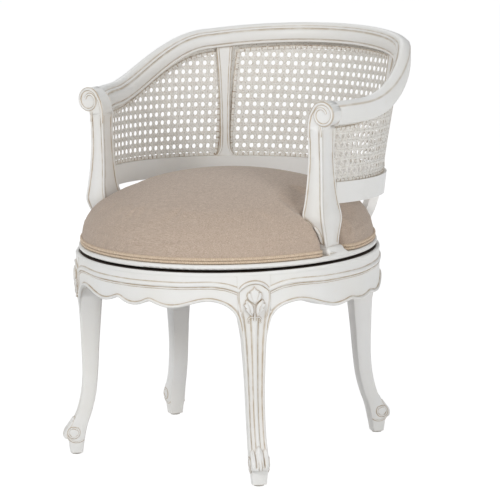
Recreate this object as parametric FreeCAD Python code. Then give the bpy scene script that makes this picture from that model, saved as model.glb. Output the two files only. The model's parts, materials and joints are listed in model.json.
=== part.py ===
"""Swivel tub chair with caned back: every separate piece as its own solid.

Millimetres. The origin is on the floor under the swivel axis, +Z is up and the
seat faces -Y. An azimuth is counted from -Y towards +X, which is the sitter's left.
The base stands turned under the seat, as the chair was found.
"""
import FreeCAD, Part
import math
import os

# Base
apron_radius = 272.0
apron_thickness = 24.0
apron_top = 369.0
base_turn = 92.5
front_leg_spread = 49.75
rear_leg_spread = 143.5

# Legs
knee_width = 57.0
knee_depth = 46.0
knee_bottom = 300.0
knee_crown = 3.0
calf_width = 42.0
calf_depth = 38.0
shin_width = 32.5
shin_depth = 28.0
shin_set_back = 2.5
ankle_width = 33.0
ankle_depth = 27.0
leg_face_crown = 4.0
leg_corner_round = 7.0
toe_reach = 35.0
toe_length = 38.0
toe_height = 41.0
toe_scroll_radius = 10.5
toe_scroll_proud = 1.2
toe_scroll_set_in = 18.5
peg_set_in = 23.5
peg_top = 26.0
peg_length_outer = 31.0
peg_length_inner = 23.0
peg_width_top = 27.0
peg_width_bottom = 25.0
glide_radius = 9.0
glide_thickness = 3.0

# Scalloped lower edges of the aprons
side_lobe_drop = 59.0
side_cusp_rise = 11.0
side_arch_rise = 13.0
front_lobe_drop = 71.5
front_cusp_rise = 6.0
front_arch_rise = 19.5
cusp_angle = 7.0
lobe_angle = 15.0
arch_share = 0.76

# Cross bearers and dowels under the seat
bearer_width = 60.0
bearer_thickness = 30.0
dowel_radius = 5.0
dowel_length = 50.0
dowel_spacing = 30.0
dowel_rise = 6.0
bearer_dowel_length = 45.0
bearer_dowel_let_in = 35.0

# Ball bearing between base and seat
swivel_gap = 7.0
bearing_height = 17.0
base_board_thickness = 2.5
base_board_set_in = 6.0
base_board_clearance = 4.0
plate_radius = 120.0
plate_thickness = 2.5
ball_radius = 4.0
ball_count = 12
ball_circle = 75.0
race_half_width = 9.0
race_clearance = 0.3
cage_half_width = 6.0
cage_thickness = 1.6
cage_room = 1.7
screw_circle = 105.0
screw_count = 4
screw_radius = 2.25
screw_head_radius = 4.5
screw_head_height = 2.2
screw_length = 20.0
deck_screw_length = 10.0
access_hole_radius = 6.0

# Seat ring and deck
ring_radius = 268.0
ring_inner_radius = 205.0
ring_thickness = 9.0
ring_edge_round = 3.5
rebate_depth = 4.5
rebate_width = 10.0
deck_thickness = 12.0

# Domed cushion and its braid
cushion_radius = 263.0
cushion_height = 120.0
cushion_shoulder_radius = 64.0
cushion_edge_height = 14.0
cover_thickness = 2.0
notch_clearance = 3.5
notch_corner_round = 12.0
gimp_height = 11.5
gimp_thickness = 2.2
soft_clearance = 0.3
dome_overhang = 1.0
seam_turn = 20.0

# Crest rail and arm rails, on one circle behind the swivel axis
crest_centre = 90.0
crest_inner_radius = 256.0
crest_thickness = 31.0
crest_depth = 36.0
crest_edge_cut = 5.0
back_height = 740.0
arm_height = 650.0
arm_depth = 40.0
crest_drop = 10.0
sweep_start = 50.0
sweep_end = 104.0
arm_swell = 13.0
arm_swell_angle = 24.0
crest_joint_angle = 52.0
crest_section_count = 7
arm_section_count = 10
crest_dowel_radius = 4.0
crest_dowel_set_out = 1.0
crest_dowel_shares = (0.3, 0.68)

# Lower back rail, falling towards the back; its top is given at the arm posts
rail_centre = 55.0
rail_inner_radius = 239.0
rail_thickness = 16.0
rail_top = 505.0
rail_height = 35.0
rail_pitch = 2.6
rail_rake = 4.0
rail_lip = 3.0
rail_end_angle = 128.0

# Back stiles
stile_foot_radius = 255.0
stile_rail_angle = 41.5
stile_crest_angle = 44.5
stile_top_width = 33.0
stile_waist_width = 17.5
stile_foot_width = 32.0
stile_flare = 12.0
stile_thickness = 17.0
stile_head_set_out = 4.0
stile_let_in = 12.0
stile_foot_nip = 3.0
stile_head_run = 60.0
stile_head_swell = 6.0
stile_shaft_swell = 2.0

# Arm posts, sizes across the chair (wide) and along it (deep)
post_inner = 218.0
post_neck_width = 28.0
post_neck_front = 65.0
post_neck_depth = 36.0
post_belly_forward = 18.5
post_belly_outward = 15.0
post_belly_inward = 3.0
post_belly_back = 9.0
post_belly_height = 452.0
post_foot_width = 32.0
post_foot_front = 60.0
post_foot_depth = 36.0
post_corner_cut = 10.0
post_corner_run = 19.0
volute_centre = 248.0
volute_drop = 19.0
volute_radius = 21.5
volute_front = 73.0
volute_depth = 28.0
head_joint_drop = 6.0
post_step_count = 9
post_belly_rise = 92.0
post_belly_fall = 60.0
post_foot_start = 6.0
post_head_run = 48.0
tenon_size = 18.0

# Caned panels
cane_thickness = 2.6
cane_set_back = 9.0
cane_let_in = 3.0
cane_stile_overlap = 1.0
cane_end_angle = 116.0
cane_side_count = 9
cane_back_count = 7
cane_opening = 14.0
cane_opening_pitch = 29.2
cane_border = 12.0

# Levels worked out from the sizes above
side_lobe_height = apron_top - side_lobe_drop
front_lobe_height = apron_top - front_lobe_drop
ring_bottom = apron_top + swivel_gap
ring_top = ring_bottom + ring_thickness
deck_bottom = ring_top - rebate_depth
deck_top = deck_bottom + deck_thickness
bearer_top = deck_bottom - bearing_height
ball_height = bearer_top + bearing_height / 2
arm_joint_front = volute_front - volute_depth
volute_height = arm_height - volute_drop
post_joint = volute_height - volute_radius - head_joint_drop
wide = back_height * 2

UP = FreeCAD.Vector(0, 0, 1)
ORIGIN = FreeCAD.Vector(0, 0, 0)


def polar(radius, azimuth, height):
    """Point at a radius and azimuth round the swivel axis."""
    turn = math.radians(azimuth)
    return FreeCAD.Vector(radius * math.sin(turn), -radius * math.cos(turn), height)


def turned(shape, azimuth):
    """Copy of a shape made at azimuth 0, turned to its azimuth."""
    copy = shape.copy()
    copy.rotate(ORIGIN, UP, azimuth)
    return copy


def mirrored(shape):
    """The same piece for the other side of the seat."""
    return shape.mirror(ORIGIN, FreeCAD.Vector(1, 0, 0))


def cylinder(radius, height, base, direction=UP):
    return Part.makeCylinder(radius, height, base, direction)


def tube(inner, outer, bottom, top):
    """Plain ring round the swivel axis."""
    low = FreeCAD.Vector(0, 0, bottom)
    ring = cylinder(outer, top - bottom, low)
    return ring.cut(cylinder(inner, top - bottom, low))


def polygon_face(points):
    """Flat face with straight edges through the points."""
    corners = [FreeCAD.Vector(*point) for point in points]
    return Part.Face(Part.makePolygon(corners + corners[:1]))


def smooth_edge(points):
    """One curve through the points."""
    curve = Part.BSplineCurve()
    curve.interpolate([FreeCAD.Vector(*point) for point in points])
    return curve.toShape()


def save(name, shape):
    """Write one node, as a single solid where it holds only one."""
    if len(shape.Solids) == 1:
        shape = shape.Solids[0]
    shape.exportStep("parts/" + name + ".step")
    faces = len(shape.Faces)
    print(name, len(shape.Solids), "solids", faces, "faces", shape.isValid(), round(shape.Volume))


def leg_section(height, outer, depth, width, crown, corner):
    """Level outline of a leg at azimuth 0: a rounded block with a crowned face."""
    half = width / 2
    front = -outer
    back = -(outer - depth)
    slant = corner * (1 - math.sqrt(0.5))
    lines = []

    def at(x, y):
        return FreeCAD.Vector(x, y, height)

    shoulder = front + crown
    face = Part.Arc(at(-half + corner, shoulder), at(0, front), at(half - corner, shoulder))
    lines.append(face.toShape())
    right_front = Part.Arc(
        at(half - corner, shoulder),
        at(half - slant, shoulder + slant),
        at(half, shoulder + corner),
    )
    lines.append(right_front.toShape())
    lines.append(Part.makeLine(at(half, shoulder + corner), at(half, back - corner)))
    right_back = Part.Arc(
        at(half, back - corner), at(half - slant, back - slant), at(half - corner, back)
    )
    lines.append(right_back.toShape())
    lines.append(Part.makeLine(at(half - corner, back), at(-half + corner, back)))
    left_back = Part.Arc(
        at(-half + corner, back), at(-half + slant, back - slant), at(-half, back - corner)
    )
    lines.append(left_back.toShape())
    lines.append(Part.makeLine(at(-half, back - corner), at(-half, shoulder + corner)))
    left_front = Part.Arc(
        at(-half, shoulder + corner),
        at(-half + slant, shoulder + slant),
        at(-half + corner, shoulder),
    )
    lines.append(left_front.toShape())
    return Part.Wire(lines)


def make_knee():
    """Block of the leg between two aprons, its face crowned past them."""
    half = knee_width / 2
    side = -math.sqrt(apron_radius**2 - half**2)
    back = -(apron_radius - knee_depth)
    front = -(apron_radius + knee_crown)
    height = apron_top - knee_bottom

    def at(x, y):
        return FreeCAD.Vector(x, y, knee_bottom)

    edges = [Part.Arc(at(-half, side), at(0, front), at(half, side)).toShape()]
    edges.append(Part.makeLine(at(half, side), at(half, back)))
    edges.append(Part.makeLine(at(half, back), at(-half, back)))
    edges.append(Part.makeLine(at(-half, back), at(-half, side)))
    return Part.Face(Part.Wire(edges)).extrude(UP * height)


def make_foot():
    """Scrolled toe with a raised disc on both cheeks, and the peg under it."""
    tip = apron_radius + toe_reach
    curl = toe_scroll_radius

    def at(set_in, height):
        return FreeCAD.Vector(-ankle_width / 2, set_in - tip, height)

    instep = at(curl * 1.3, toe_height + curl * 1.5)
    nose = at(0, toe_height - curl * 0.5)
    sole = at(curl * 0.6, peg_top)
    heel = at(toe_length, peg_top)
    hollow = at(toe_length + curl * 0.6, toe_height + curl * 1.5)
    edges = [
        Part.Arc(instep, at(curl * 0.35, toe_height + curl * 0.45), nose).toShape(),
        Part.Arc(nose, at(curl * 0.12, (nose.z + sole.z) / 2), sole).toShape(),
        Part.makeLine(sole, heel),
        Part.makeLine(heel, hollow),
        Part.makeLine(hollow, instep),
    ]
    toe = Part.Face(Part.Wire(edges)).extrude(FreeCAD.Vector(ankle_width, 0, 0))
    disc_width = ankle_width + 2 * toe_scroll_proud
    disc_base = FreeCAD.Vector(-disc_width / 2, toe_scroll_set_in - tip, toe_height)
    disc = cylinder(toe_scroll_radius, disc_width, disc_base, FreeCAD.Vector(1, 0, 0))
    peg_middle = tip - peg_set_in

    def peg_wire(height, width, length):
        across = width / 2
        along = length / 2
        corners = [(-across, -along), (across, -along), (across, along), (-across, along)]
        points = [FreeCAD.Vector(a, b - peg_middle, height) for a, b in corners]
        return Part.makePolygon(points + points[:1])

    upper = peg_wire(peg_top + 4, peg_width_top, peg_length_outer)
    lower = peg_wire(glide_thickness, peg_width_bottom, peg_length_inner)
    peg = Part.makeLoft([upper, lower], True, True)
    return toe.fuse([disc, peg])


def make_leg():
    """Cabriole leg at azimuth 0."""
    shin = apron_radius - shin_set_back
    fall = knee_bottom - toe_height
    stations = [
        (-0.01, apron_radius + knee_crown - 1, knee_depth - 1, knee_width - 0.6),
        (0.08, apron_radius + knee_crown * 0.2, knee_depth - 4, knee_width * 0.88),
        (0.19, apron_radius - 1, calf_depth, calf_width),
        (0.39, shin, (calf_depth + shin_depth) / 2 - 1, shin_width + 3.5),
        (0.58, shin - 0.5, shin_depth, shin_width),
        (0.73, shin + toe_reach * 0.09, ankle_depth, shin_width - 0.5),
        (0.85, shin + toe_reach * 0.31, ankle_depth, ankle_width - 1),
        (0.92, apron_radius + toe_reach * 0.5, ankle_depth + 2, ankle_width),
        (0.98, apron_radius + toe_reach * 0.84, ankle_depth + 5, ankle_width),
    ]
    sections = []
    for share, outer, depth, width in stations:
        corner = min(leg_corner_round, depth / 5)
        height = knee_bottom - fall * share
        sections.append(leg_section(height, outer, depth, width, leg_face_crown, corner))
    shank = Part.makeLoft(sections, True, False)
    return make_knee().fuse([shank, make_foot()])


def scallop(half_span, lobe, cusp, arch):
    """Outline of the space under one apron, at azimuth 0, in the plane of its middle."""
    plane = -apron_radius
    floor = knee_bottom - 60

    def at(angle, height):
        return (apron_radius * math.sin(math.radians(angle)), plane, height)

    lobe_at = min(lobe_angle, half_span * 0.4)
    cusp_at = min(cusp_angle, half_span * 0.2)
    arch_at = half_span * arch_share
    wave_at = (lobe_at + arch_at) / 2
    wave_height = (lobe + arch) / 2
    edges = []
    for side in (-1, 1):
        points = [
            at(side * cusp_at, cusp),
            at(side * (cusp_at + lobe_at) / 2, (lobe * 2 + cusp) / 3),
            at(side * lobe_at, lobe),
            at(side * wave_at, wave_height),
            at(side * arch_at, arch),
            at(side * (half_span + arch_at) / 2, arch - (arch - knee_bottom) * 0.3),
            at(side * (half_span + 1), knee_bottom),
        ]
        edges.append(smooth_edge(points))
    left = [FreeCAD.Vector(*at(-cusp_at, cusp)), FreeCAD.Vector(*at(0, lobe))]
    middle = Part.Arc(left[0], left[1], FreeCAD.Vector(*at(cusp_at, cusp)))
    edges.append(middle.toShape())
    corners = []
    for angle, height in ((-half_span - 1, knee_bottom), (-half_span - 1, floor)):
        corners.append(FreeCAD.Vector(*at(angle, height)))
    for angle, height in ((half_span + 1, floor), (half_span + 1, knee_bottom)):
        corners.append(FreeCAD.Vector(*at(angle, height)))
    for start, end in zip(corners, corners[1:]):
        edges.append(Part.makeLine(start, end))
    wire = Part.Wire(Part.__sortEdges__(edges))
    return Part.Face(wire)


def edge_levels(lobe, cusp_rise, arch_rise):
    """Heights of an apron's lower edge at its lobes, its cusps and its arches."""
    return lobe, lobe + cusp_rise, lobe + arch_rise


def make_apron(half_span, lobe, cusp, arch):
    """Curved apron at azimuth 0 between two legs, with its scalloped lower edge."""
    bottom = min(lobe, cusp, knee_bottom)
    wall = tube(apron_radius - apron_thickness, apron_radius, bottom, apron_top)
    reach = apron_radius * 2
    sector = Part.makeBox(reach * 2, reach, apron_top, FreeCAD.Vector(-reach, -reach, 0))
    wall = wall.common(sector)
    space = scallop(half_span, lobe, cusp, arch)
    cutter = space.extrude(FreeCAD.Vector(0, reach, 0))
    cutter.translate(FreeCAD.Vector(0, -apron_thickness, 0))
    return wall.cut(cutter)


def leg_slot(azimuth):
    """Room that a leg's knee takes out of the ring of aprons."""
    half = knee_width / 2
    corner = FreeCAD.Vector(-half, -apron_radius * 2, 0)
    box = Part.makeBox(knee_width, apron_radius * 2, apron_top * 2, corner)
    return turned(box, azimuth)


def apron_window(start, end):
    """Wedge of the ring between two leg azimuths."""
    reach = apron_radius * 3
    points = [(0, 0, 0)]
    steps = 4
    for step in range(steps + 1):
        edge = polar(reach, start + (end - start) * step / steps, 0)
        points.append((edge.x, edge.y, 0))
    return polygon_face(points).extrude(UP * apron_top * 2)


def make_base_frame():
    """Four legs, four aprons, the dowels between them and the crossed bearers."""
    legs = {
        "front_right": base_turn - front_leg_spread,
        "front_left": base_turn + front_leg_spread,
        "rear_left": base_turn + rear_leg_spread,
        "rear_right": base_turn - rear_leg_spread,
    }
    side_span = (rear_leg_spread - front_leg_spread) / 2
    rear_span = 180 - rear_leg_spread
    side = edge_levels(side_lobe_height, side_cusp_rise, side_arch_rise)
    front = edge_levels(front_lobe_height, front_cusp_rise, front_arch_rise)
    side_middle = (rear_leg_spread + front_leg_spread) / 2
    aprons = {
        "front": (base_turn, front_leg_spread, front),
        "left": (base_turn + side_middle, side_span, side),
        "rear": (base_turn + 180, rear_span, side),
        "right": (base_turn - side_middle, side_span, side),
    }
    knee_angle = math.degrees(math.asin(knee_width / 2 / apron_radius))
    dowels = []
    middle_radius = apron_radius - apron_thickness / 2
    low_dowel = (apron_top + knee_bottom) / 2 - dowel_spacing / 2 + dowel_rise
    for azimuth in legs.values():
        for side_sign in (-1, 1):
            for height in (low_dowel, low_dowel + dowel_spacing):
                start = polar(middle_radius, azimuth, height)
                across = polar(1, azimuth + 90 * side_sign, 0)
                base = start + across * (knee_width / 2 - dowel_length / 2)
                dowels.append(cylinder(dowel_radius, dowel_length, base, across))
    bearer_dowels = []
    inner = apron_radius - apron_thickness
    for quarter in range(4):
        azimuth = base_turn + 90 * quarter
        middle = bearer_top - bearer_thickness / 2
        base = polar(inner - bearer_dowel_let_in, azimuth, middle)
        outward = polar(1, azimuth, 0)
        bearer_dowels.append(cylinder(dowel_radius, bearer_dowel_length, base, outward))
    holes = Part.makeCompound(dowels)
    bearer_holes = Part.makeCompound(bearer_dowels)
    leg = make_leg()
    for name, azimuth in legs.items():
        save("leg_" + name, turned(leg, azimuth).cut(holes))
    for name, (azimuth, half_span, levels) in aprons.items():
        piece = turned(make_apron(half_span - knee_angle, *levels), azimuth)
        piece = piece.common(apron_window(azimuth - half_span, azimuth + half_span))
        for edge in (azimuth - half_span, azimuth + half_span):
            piece = piece.cut(leg_slot(edge))
        save("apron_" + name, piece.cut(holes).cut(bearer_holes))
    save("leg_dowels", holes)
    save("bearer_dowels", bearer_holes)
    make_bearers(bearer_holes)


def make_bearers(holes):
    """Two boards halved over each other, carrying the bearing."""
    inner = apron_radius - apron_thickness
    low = FreeCAD.Vector(0, 0, bearer_top - bearer_thickness)
    round_end = cylinder(inner, bearer_thickness, low)
    corner = FreeCAD.Vector(-bearer_width / 2, -inner, bearer_top - bearer_thickness)
    board = Part.makeBox(bearer_width, inner * 2, bearer_thickness, corner).common(round_end)
    half_corner = FreeCAD.Vector(-inner, -bearer_width / 2, bearer_top - bearer_thickness)
    half_lap = Part.makeBox(inner * 2, bearer_width, bearer_thickness / 2, half_corner)
    pilots = screw_group(screw_circle, bearer_top + plate_thickness, -screw_length, base_turn)
    upper = turned(board.cut(half_lap), base_turn)
    half_lap.translate(FreeCAD.Vector(0, 0, bearer_thickness / 2))
    lower = turned(board.cut(half_lap), base_turn + 90)
    save("bearer_long", upper.cut(holes).cut(pilots))
    save("bearer_cross", lower.cut(holes).cut(pilots))


def screw_group(circle, face, length, first_azimuth):
    """Round-headed screws on a circle; a negative length points down from the face."""
    sign = -1 if length < 0 else 1
    screws = []
    for index in range(screw_count):
        place = polar(circle, first_azimuth + 360 * index / screw_count, face)
        shank = cylinder(screw_radius, abs(length), place, UP * sign)
        head = cylinder(screw_head_radius, screw_head_height, place, UP * -sign)
        screws.append(shank.fuse(head).removeSplitter())
    return Part.makeCompound(screws)


def race(plate_side, sign):
    """Plate with its pressed ball track; sign is the side that the balls lie on."""
    inner = ball_circle - race_half_width
    outer = ball_circle + race_half_width
    track_top = ball_height - sign * (cage_thickness / 2 + cage_room)
    low = min(plate_side, track_top)
    high = max(plate_side, track_top)
    track = tube(inner, outer, low, high)
    groove = Part.makeTorus(ball_circle, ball_radius + race_clearance)
    groove.translate(FreeCAD.Vector(0, 0, ball_height))
    base = FreeCAD.Vector(0, 0, plate_side)
    disc = cylinder(plate_radius, plate_thickness, base, UP * -sign)
    return disc.fuse(track).cut(groove).removeSplitter()


def make_bearing():
    """Two plates, the caged balls between them and the screws that hold the plates."""
    lower_side = bearer_top + plate_thickness
    upper_side = deck_bottom - plate_thickness
    base_screws = screw_group(screw_circle, lower_side, -screw_length, base_turn)
    deck_screws = screw_group(screw_circle, upper_side, deck_screw_length, 45)
    hole_place = polar(screw_circle, base_turn + 45, bearer_top)
    access = cylinder(access_hole_radius, plate_thickness, hole_place)
    save("bearing_lower_plate", race(lower_side, 1).cut(base_screws).cut(access))
    save("bearing_upper_plate", race(upper_side, -1).cut(deck_screws))
    save("lower_plate_screws", base_screws)
    save("upper_plate_screws", deck_screws)
    cage = tube(
        ball_circle - cage_half_width,
        ball_circle + cage_half_width,
        ball_height - cage_thickness / 2,
        ball_height + cage_thickness / 2,
    )
    balls = []
    for index in range(ball_count):
        centre = polar(ball_circle, 360 * index / ball_count, ball_height)
        balls.append(Part.makeSphere(ball_radius, centre))
        base = centre - UP * cage_thickness
        cage = cage.cut(cylinder(ball_radius + race_clearance, cage_thickness * 2, base))
    save("bearing_balls", Part.makeCompound(balls))
    save("bearing_cage", cage)
    return deck_screws


def make_base_board():
    """Thin board on the aprons and knees that closes the base under the gap."""
    outer = apron_radius - base_board_set_in
    inner = plate_radius + base_board_clearance
    save("base_board", tube(inner, outer, apron_top, apron_top + base_board_thickness))


def make_seat_ring(mortises):
    """Flat wooden ring with a rounded rim and a rebate for the deck."""
    inner = ring_inner_radius
    step = inner + rebate_width
    round_in = ring_edge_round * (1 - math.sqrt(0.5))
    edge = ring_radius

    def at(radius, height):
        return FreeCAD.Vector(radius, 0, height)

    low = ring_bottom
    high = ring_top
    r = ring_edge_round
    edges = [Part.makeLine(at(inner, low), at(edge - r, low))]
    bottom_arc = Part.Arc(
        at(edge - r, low), at(edge - round_in, low + round_in), at(edge, low + r)
    )
    edges.append(bottom_arc.toShape())
    edges.append(Part.makeLine(at(edge, low + r), at(edge, high - r)))
    top_arc = Part.Arc(
        at(edge, high - r), at(edge - round_in, high - round_in), at(edge - r, high)
    )
    edges.append(top_arc.toShape())
    edges.append(Part.makeLine(at(edge - r, high), at(step, high)))
    edges.append(Part.makeLine(at(step, high), at(step, deck_bottom)))
    edges.append(Part.makeLine(at(step, deck_bottom), at(inner, deck_bottom)))
    edges.append(Part.makeLine(at(inner, deck_bottom), at(inner, low)))
    ring = Part.Face(Part.Wire(edges)).revolve(ORIGIN, UP, 360)
    save("seat_ring", ring.cut(mortises))


def make_deck(screws):
    """Plywood deck in the rebate of the ring."""
    base = FreeCAD.Vector(0, 0, deck_bottom)
    deck = cylinder(ring_inner_radius + rebate_width, deck_thickness, base)
    save("seat_deck", deck.cut(screws))


def post_section(height):
    """Level outline of the sitter's left arm post at a height."""
    share = belly_share(height)
    foot = foot_share(height)
    inner = post_inner - post_belly_inward * share
    outer_neck = post_inner + post_neck_width
    outer = outer_neck + post_belly_outward * share
    outer = outer * (1 - foot) + (post_inner + post_foot_width) * foot
    front = post_neck_front + post_belly_forward * share
    front = front * (1 - foot) + post_foot_front * foot
    front += (volute_front - post_neck_front) * head_share(height)
    back = post_neck_front - post_neck_depth - post_belly_back * share
    back = back * (1 - foot) + (post_foot_front - post_foot_depth) * foot
    cut = post_corner_cut
    corners = [
        (inner, -front, height),
        (outer, -front, height),
        (outer, -back, height),
        (inner + cut, -back, height),
        (inner, -back - post_corner_run, height),
    ]
    points = [FreeCAD.Vector(*corner) for corner in corners]
    return Part.makePolygon(points + points[:1])


def belly_share(height):
    """How much of the belly's swell a height of the post has, from 0 to 1."""
    spread = post_belly_rise if height > post_belly_height else post_belly_fall
    distance = min(1.0, abs(height - post_belly_height) / spread)
    return (1 + math.cos(math.pi * distance)) / 2


def foot_share(height):
    """How far a height of the post has drawn in to its foot, from 0 to 1."""
    top = post_belly_height - post_foot_start
    if height >= top:
        return 0.0
    distance = (top - height) / (top - ring_top)
    return (1 - math.cos(math.pi * distance)) / 2


def head_share(height):
    """How far a height of the post has come forward to its volute, from 0 to 1."""
    distance = max(0.0, 1 - (post_joint - height) / post_head_run)
    return (1 - math.cos(math.pi * min(1.0, distance))) / 2


def volute_face():
    """Outline of the post's head seen from the front, curled outwards."""
    joint = post_joint
    top = volute_height + volute_radius
    bottom = volute_height - volute_radius
    outer_neck = post_inner + post_neck_width

    def at(x, z):
        return FreeCAD.Vector(x, -volute_front, z)

    shoulder = at(post_inner + post_neck_width * 0.3, volute_height + volute_radius * 0.35)
    edges = [
        Part.Arc(at(post_inner, joint), shoulder, at(volute_centre, top)).toShape(),
        Part.Arc(
            at(volute_centre, top),
            at(volute_centre + volute_radius, volute_height),
            at(volute_centre, bottom),
        ).toShape(),
        Part.makeLine(at(volute_centre, bottom), at(outer_neck, joint)),
        Part.makeLine(at(outer_neck, joint), at(post_inner, joint)),
    ]
    return Part.Face(Part.Wire(edges))


def make_arm_post():
    """The sitter's left arm post: S-curved shaft with an outward volute."""
    joint = post_joint
    step = (joint - ring_top) / post_step_count
    sections = []
    for index in range(post_step_count + 1):
        sections.append(post_section(ring_top + step * index))
    shaft = Part.makeLoft(sections, True, False)
    head = volute_face().extrude(FreeCAD.Vector(0, volute_depth, 0))
    cap = Part.Face(post_section(joint)).extrude(UP * head_joint_drop * 1.5)
    front_room = FreeCAD.Vector(0, -volute_front * 2, joint - 1)
    behind = volute_front * 2 - arm_joint_front
    cap = cap.cut(Part.makeBox(wide, behind, volute_radius * 2, front_room))
    return shaft.fuse([head, cap])


def tenon(x, y, turn):
    """Square tenon down through the seat ring."""
    half = tenon_size / 2
    corner = FreeCAD.Vector(-half, -half, ring_bottom + soft_clearance)
    box = Part.makeBox(tenon_size, tenon_size, ring_thickness, corner)
    box.rotate(ORIGIN, UP, turn)
    box.translate(FreeCAD.Vector(x, y, 0))
    return box


def crest_level(angle):
    """Top of the crest and arm rails at an angle from the middle of the back."""
    turn = abs(angle)
    share = min(1.0, max(0.0, (turn - sweep_start) / (sweep_end - sweep_start)))
    sweep = (1 - math.cos(math.pi * share)) / 2
    crown = crest_drop * min(1.0, turn / sweep_start) ** 2
    return (back_height - crown) * (1 - sweep) + arm_height * sweep


def crest_bottom(angle):
    """Underside of the crest and arm rails, deeper where the rail runs steep."""
    step = 1.0
    rise = crest_level(abs(angle) - step) - crest_level(abs(angle) + step)
    run = math.radians(2 * step) * (crest_inner_radius + crest_thickness / 2)
    slope = math.hypot(1.0, rise / run)
    turn = abs(angle)
    share = min(1.0, max(0.0, (turn - sweep_start) / (sweep_end - sweep_start)))
    depth = crest_depth + (arm_depth - crest_depth) * share
    return crest_level(angle) - depth * slope


def back_point(radius, angle, height, centre):
    """Point behind the sitter at an angle from the middle of the back, to +X."""
    turn = math.radians(angle)
    return FreeCAD.Vector(radius * math.sin(turn), centre + radius * math.cos(turn), height)


def arm_end_angle():
    """Angle at which the arm rail has passed the back of the volute."""
    inner = math.acos(-(crest_centre + arm_joint_front) / crest_inner_radius)
    return math.degrees(inner) + 1


def arm_thickening(angle):
    """How far the arm rail has swelled outwards to meet its volute."""
    past = abs(angle) - arm_end_angle() + arm_swell_angle
    share = min(1.0, max(0.0, past / arm_swell_angle))
    return arm_swell * (1 - math.cos(math.pi * share)) / 2


def crest_section(angle):
    """Upright outline of the crest rail, its top edges bevelled."""
    low = crest_bottom(angle)
    high = crest_level(angle)
    inner = crest_inner_radius
    outer = inner + crest_thickness + arm_thickening(angle)
    cut = crest_edge_cut
    corners = [
        (inner, low),
        (inner, high - cut * 2),
        (inner + cut * 2, high),
        (outer - cut, high),
        (outer, high - cut),
        (outer, low + cut),
        (outer - cut, low),
    ]
    points = [back_point(radius, angle, height, crest_centre) for radius, height in corners]
    return Part.makePolygon(points + points[:1])


def crest_span(start, end, count):
    """Loft of the rail between two angles."""
    angles = [start + (end - start) * index / (count - 1) for index in range(count)]
    return Part.makeLoft([crest_section(angle) for angle in angles], True, False)


def behind_volute(shape):
    """The part of an arm rail behind the volute."""
    corner = FreeCAD.Vector(-wide, -arm_joint_front, 0)
    return shape.common(Part.makeBox(wide * 2, wide * 2, wide * 2, corner))


def crest_dowels():
    """Dowels across the joints between crest and arm rails."""
    dowels = []
    for side in (-1, 1):
        angle = side * crest_joint_angle
        low = crest_bottom(angle)
        high = crest_level(angle)
        for share in crest_dowel_shares:
            radius = crest_inner_radius + crest_thickness / 2 + crest_dowel_set_out
            centre = back_point(radius, angle, low + (high - low) * share, crest_centre)
            along = back_point(1, angle + 90, 0, 0)
            base = centre - along * (dowel_length / 2)
            dowels.append(cylinder(crest_dowel_radius, dowel_length, base, along))
    return Part.makeCompound(dowels)


def rail_level(back):
    """Top of the lower rail at a distance behind the swivel axis."""
    return rail_top - (back + arm_joint_front) * math.tan(math.radians(rail_pitch))


def stile_rail_top():
    """Top of the lower rail where it meets the stile."""
    return rail_level(back_point(rail_inner_radius, stile_rail_angle, 0, rail_centre).y)


def stile_middle(height):
    """Centre of the +X stile at a height, and the angle that its face is turned to."""
    rail_bottom = stile_rail_top() - rail_height
    rail_point = back_point(
        rail_inner_radius + stile_thickness / 2, stile_rail_angle, 0, rail_centre
    )
    crest_point = back_point(
        crest_inner_radius + stile_head_set_out + stile_thickness / 2,
        stile_crest_angle,
        0,
        crest_centre,
    )
    foot_turn = math.atan2(rail_point.x, rail_point.y)
    foot_point = FreeCAD.Vector(
        stile_foot_radius * math.sin(foot_turn), stile_foot_radius * math.cos(foot_turn), 0
    )
    if height >= rail_bottom:
        top = crest_bottom(stile_crest_angle)
        share = (height - rail_bottom) / (top - rail_bottom)
        middle = rail_point * (1 - share) + crest_point * share
        face = stile_rail_angle * (1 - share) + stile_crest_angle * share
    else:
        share = (height - ring_top) / (rail_bottom - ring_top)
        ease = math.sin(share * math.pi / 2)
        middle = foot_point * (1 - ease) + rail_point * ease
        face = stile_rail_angle
    return middle, face


def stile_section(height, width):
    """Level outline of the stile."""
    middle, face = stile_middle(height)
    turn = math.radians(face)
    outward = FreeCAD.Vector(math.sin(turn), math.cos(turn), 0)
    along = FreeCAD.Vector(math.cos(turn), -math.sin(turn), 0)
    centre = FreeCAD.Vector(middle.x, middle.y, height)
    half = stile_thickness / 2
    points = []
    for side, depth in ((-1, -1), (1, -1), (1, 1), (-1, 1)):
        points.append(centre + along * (side * width / 2) + outward * (depth * half))
    return Part.makePolygon(points + points[:1])


def make_stile():
    """Back stile on the +X side, from the seat ring to the underside of the crest."""
    top = crest_bottom(stile_crest_angle) + stile_let_in
    high = stile_rail_top()
    low = high - rail_height
    lower = [
        (ring_top, stile_foot_width),
        ((ring_top + low) / 2, stile_foot_width - stile_foot_nip),
        (low, stile_foot_width),
        (high, stile_waist_width + 2 * stile_flare),
    ]
    upper = [
        (high, stile_waist_width + 2 * stile_flare),
        (high + stile_flare * 0.4, stile_waist_width + stile_flare * 0.9),
        (high + stile_flare * 1.3, stile_waist_width + stile_flare * 0.15),
        (high + stile_flare * 4, stile_waist_width),
        ((high + top) / 2, stile_waist_width + stile_shaft_swell),
        (top - stile_head_run, stile_waist_width + stile_head_swell),
        (top, stile_top_width),
    ]
    foot = Part.makeLoft([stile_section(*level) for level in lower], True, False)
    shaft = Part.makeLoft([stile_section(*level) for level in upper], True, False)
    return foot.fuse(shaft)


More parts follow.
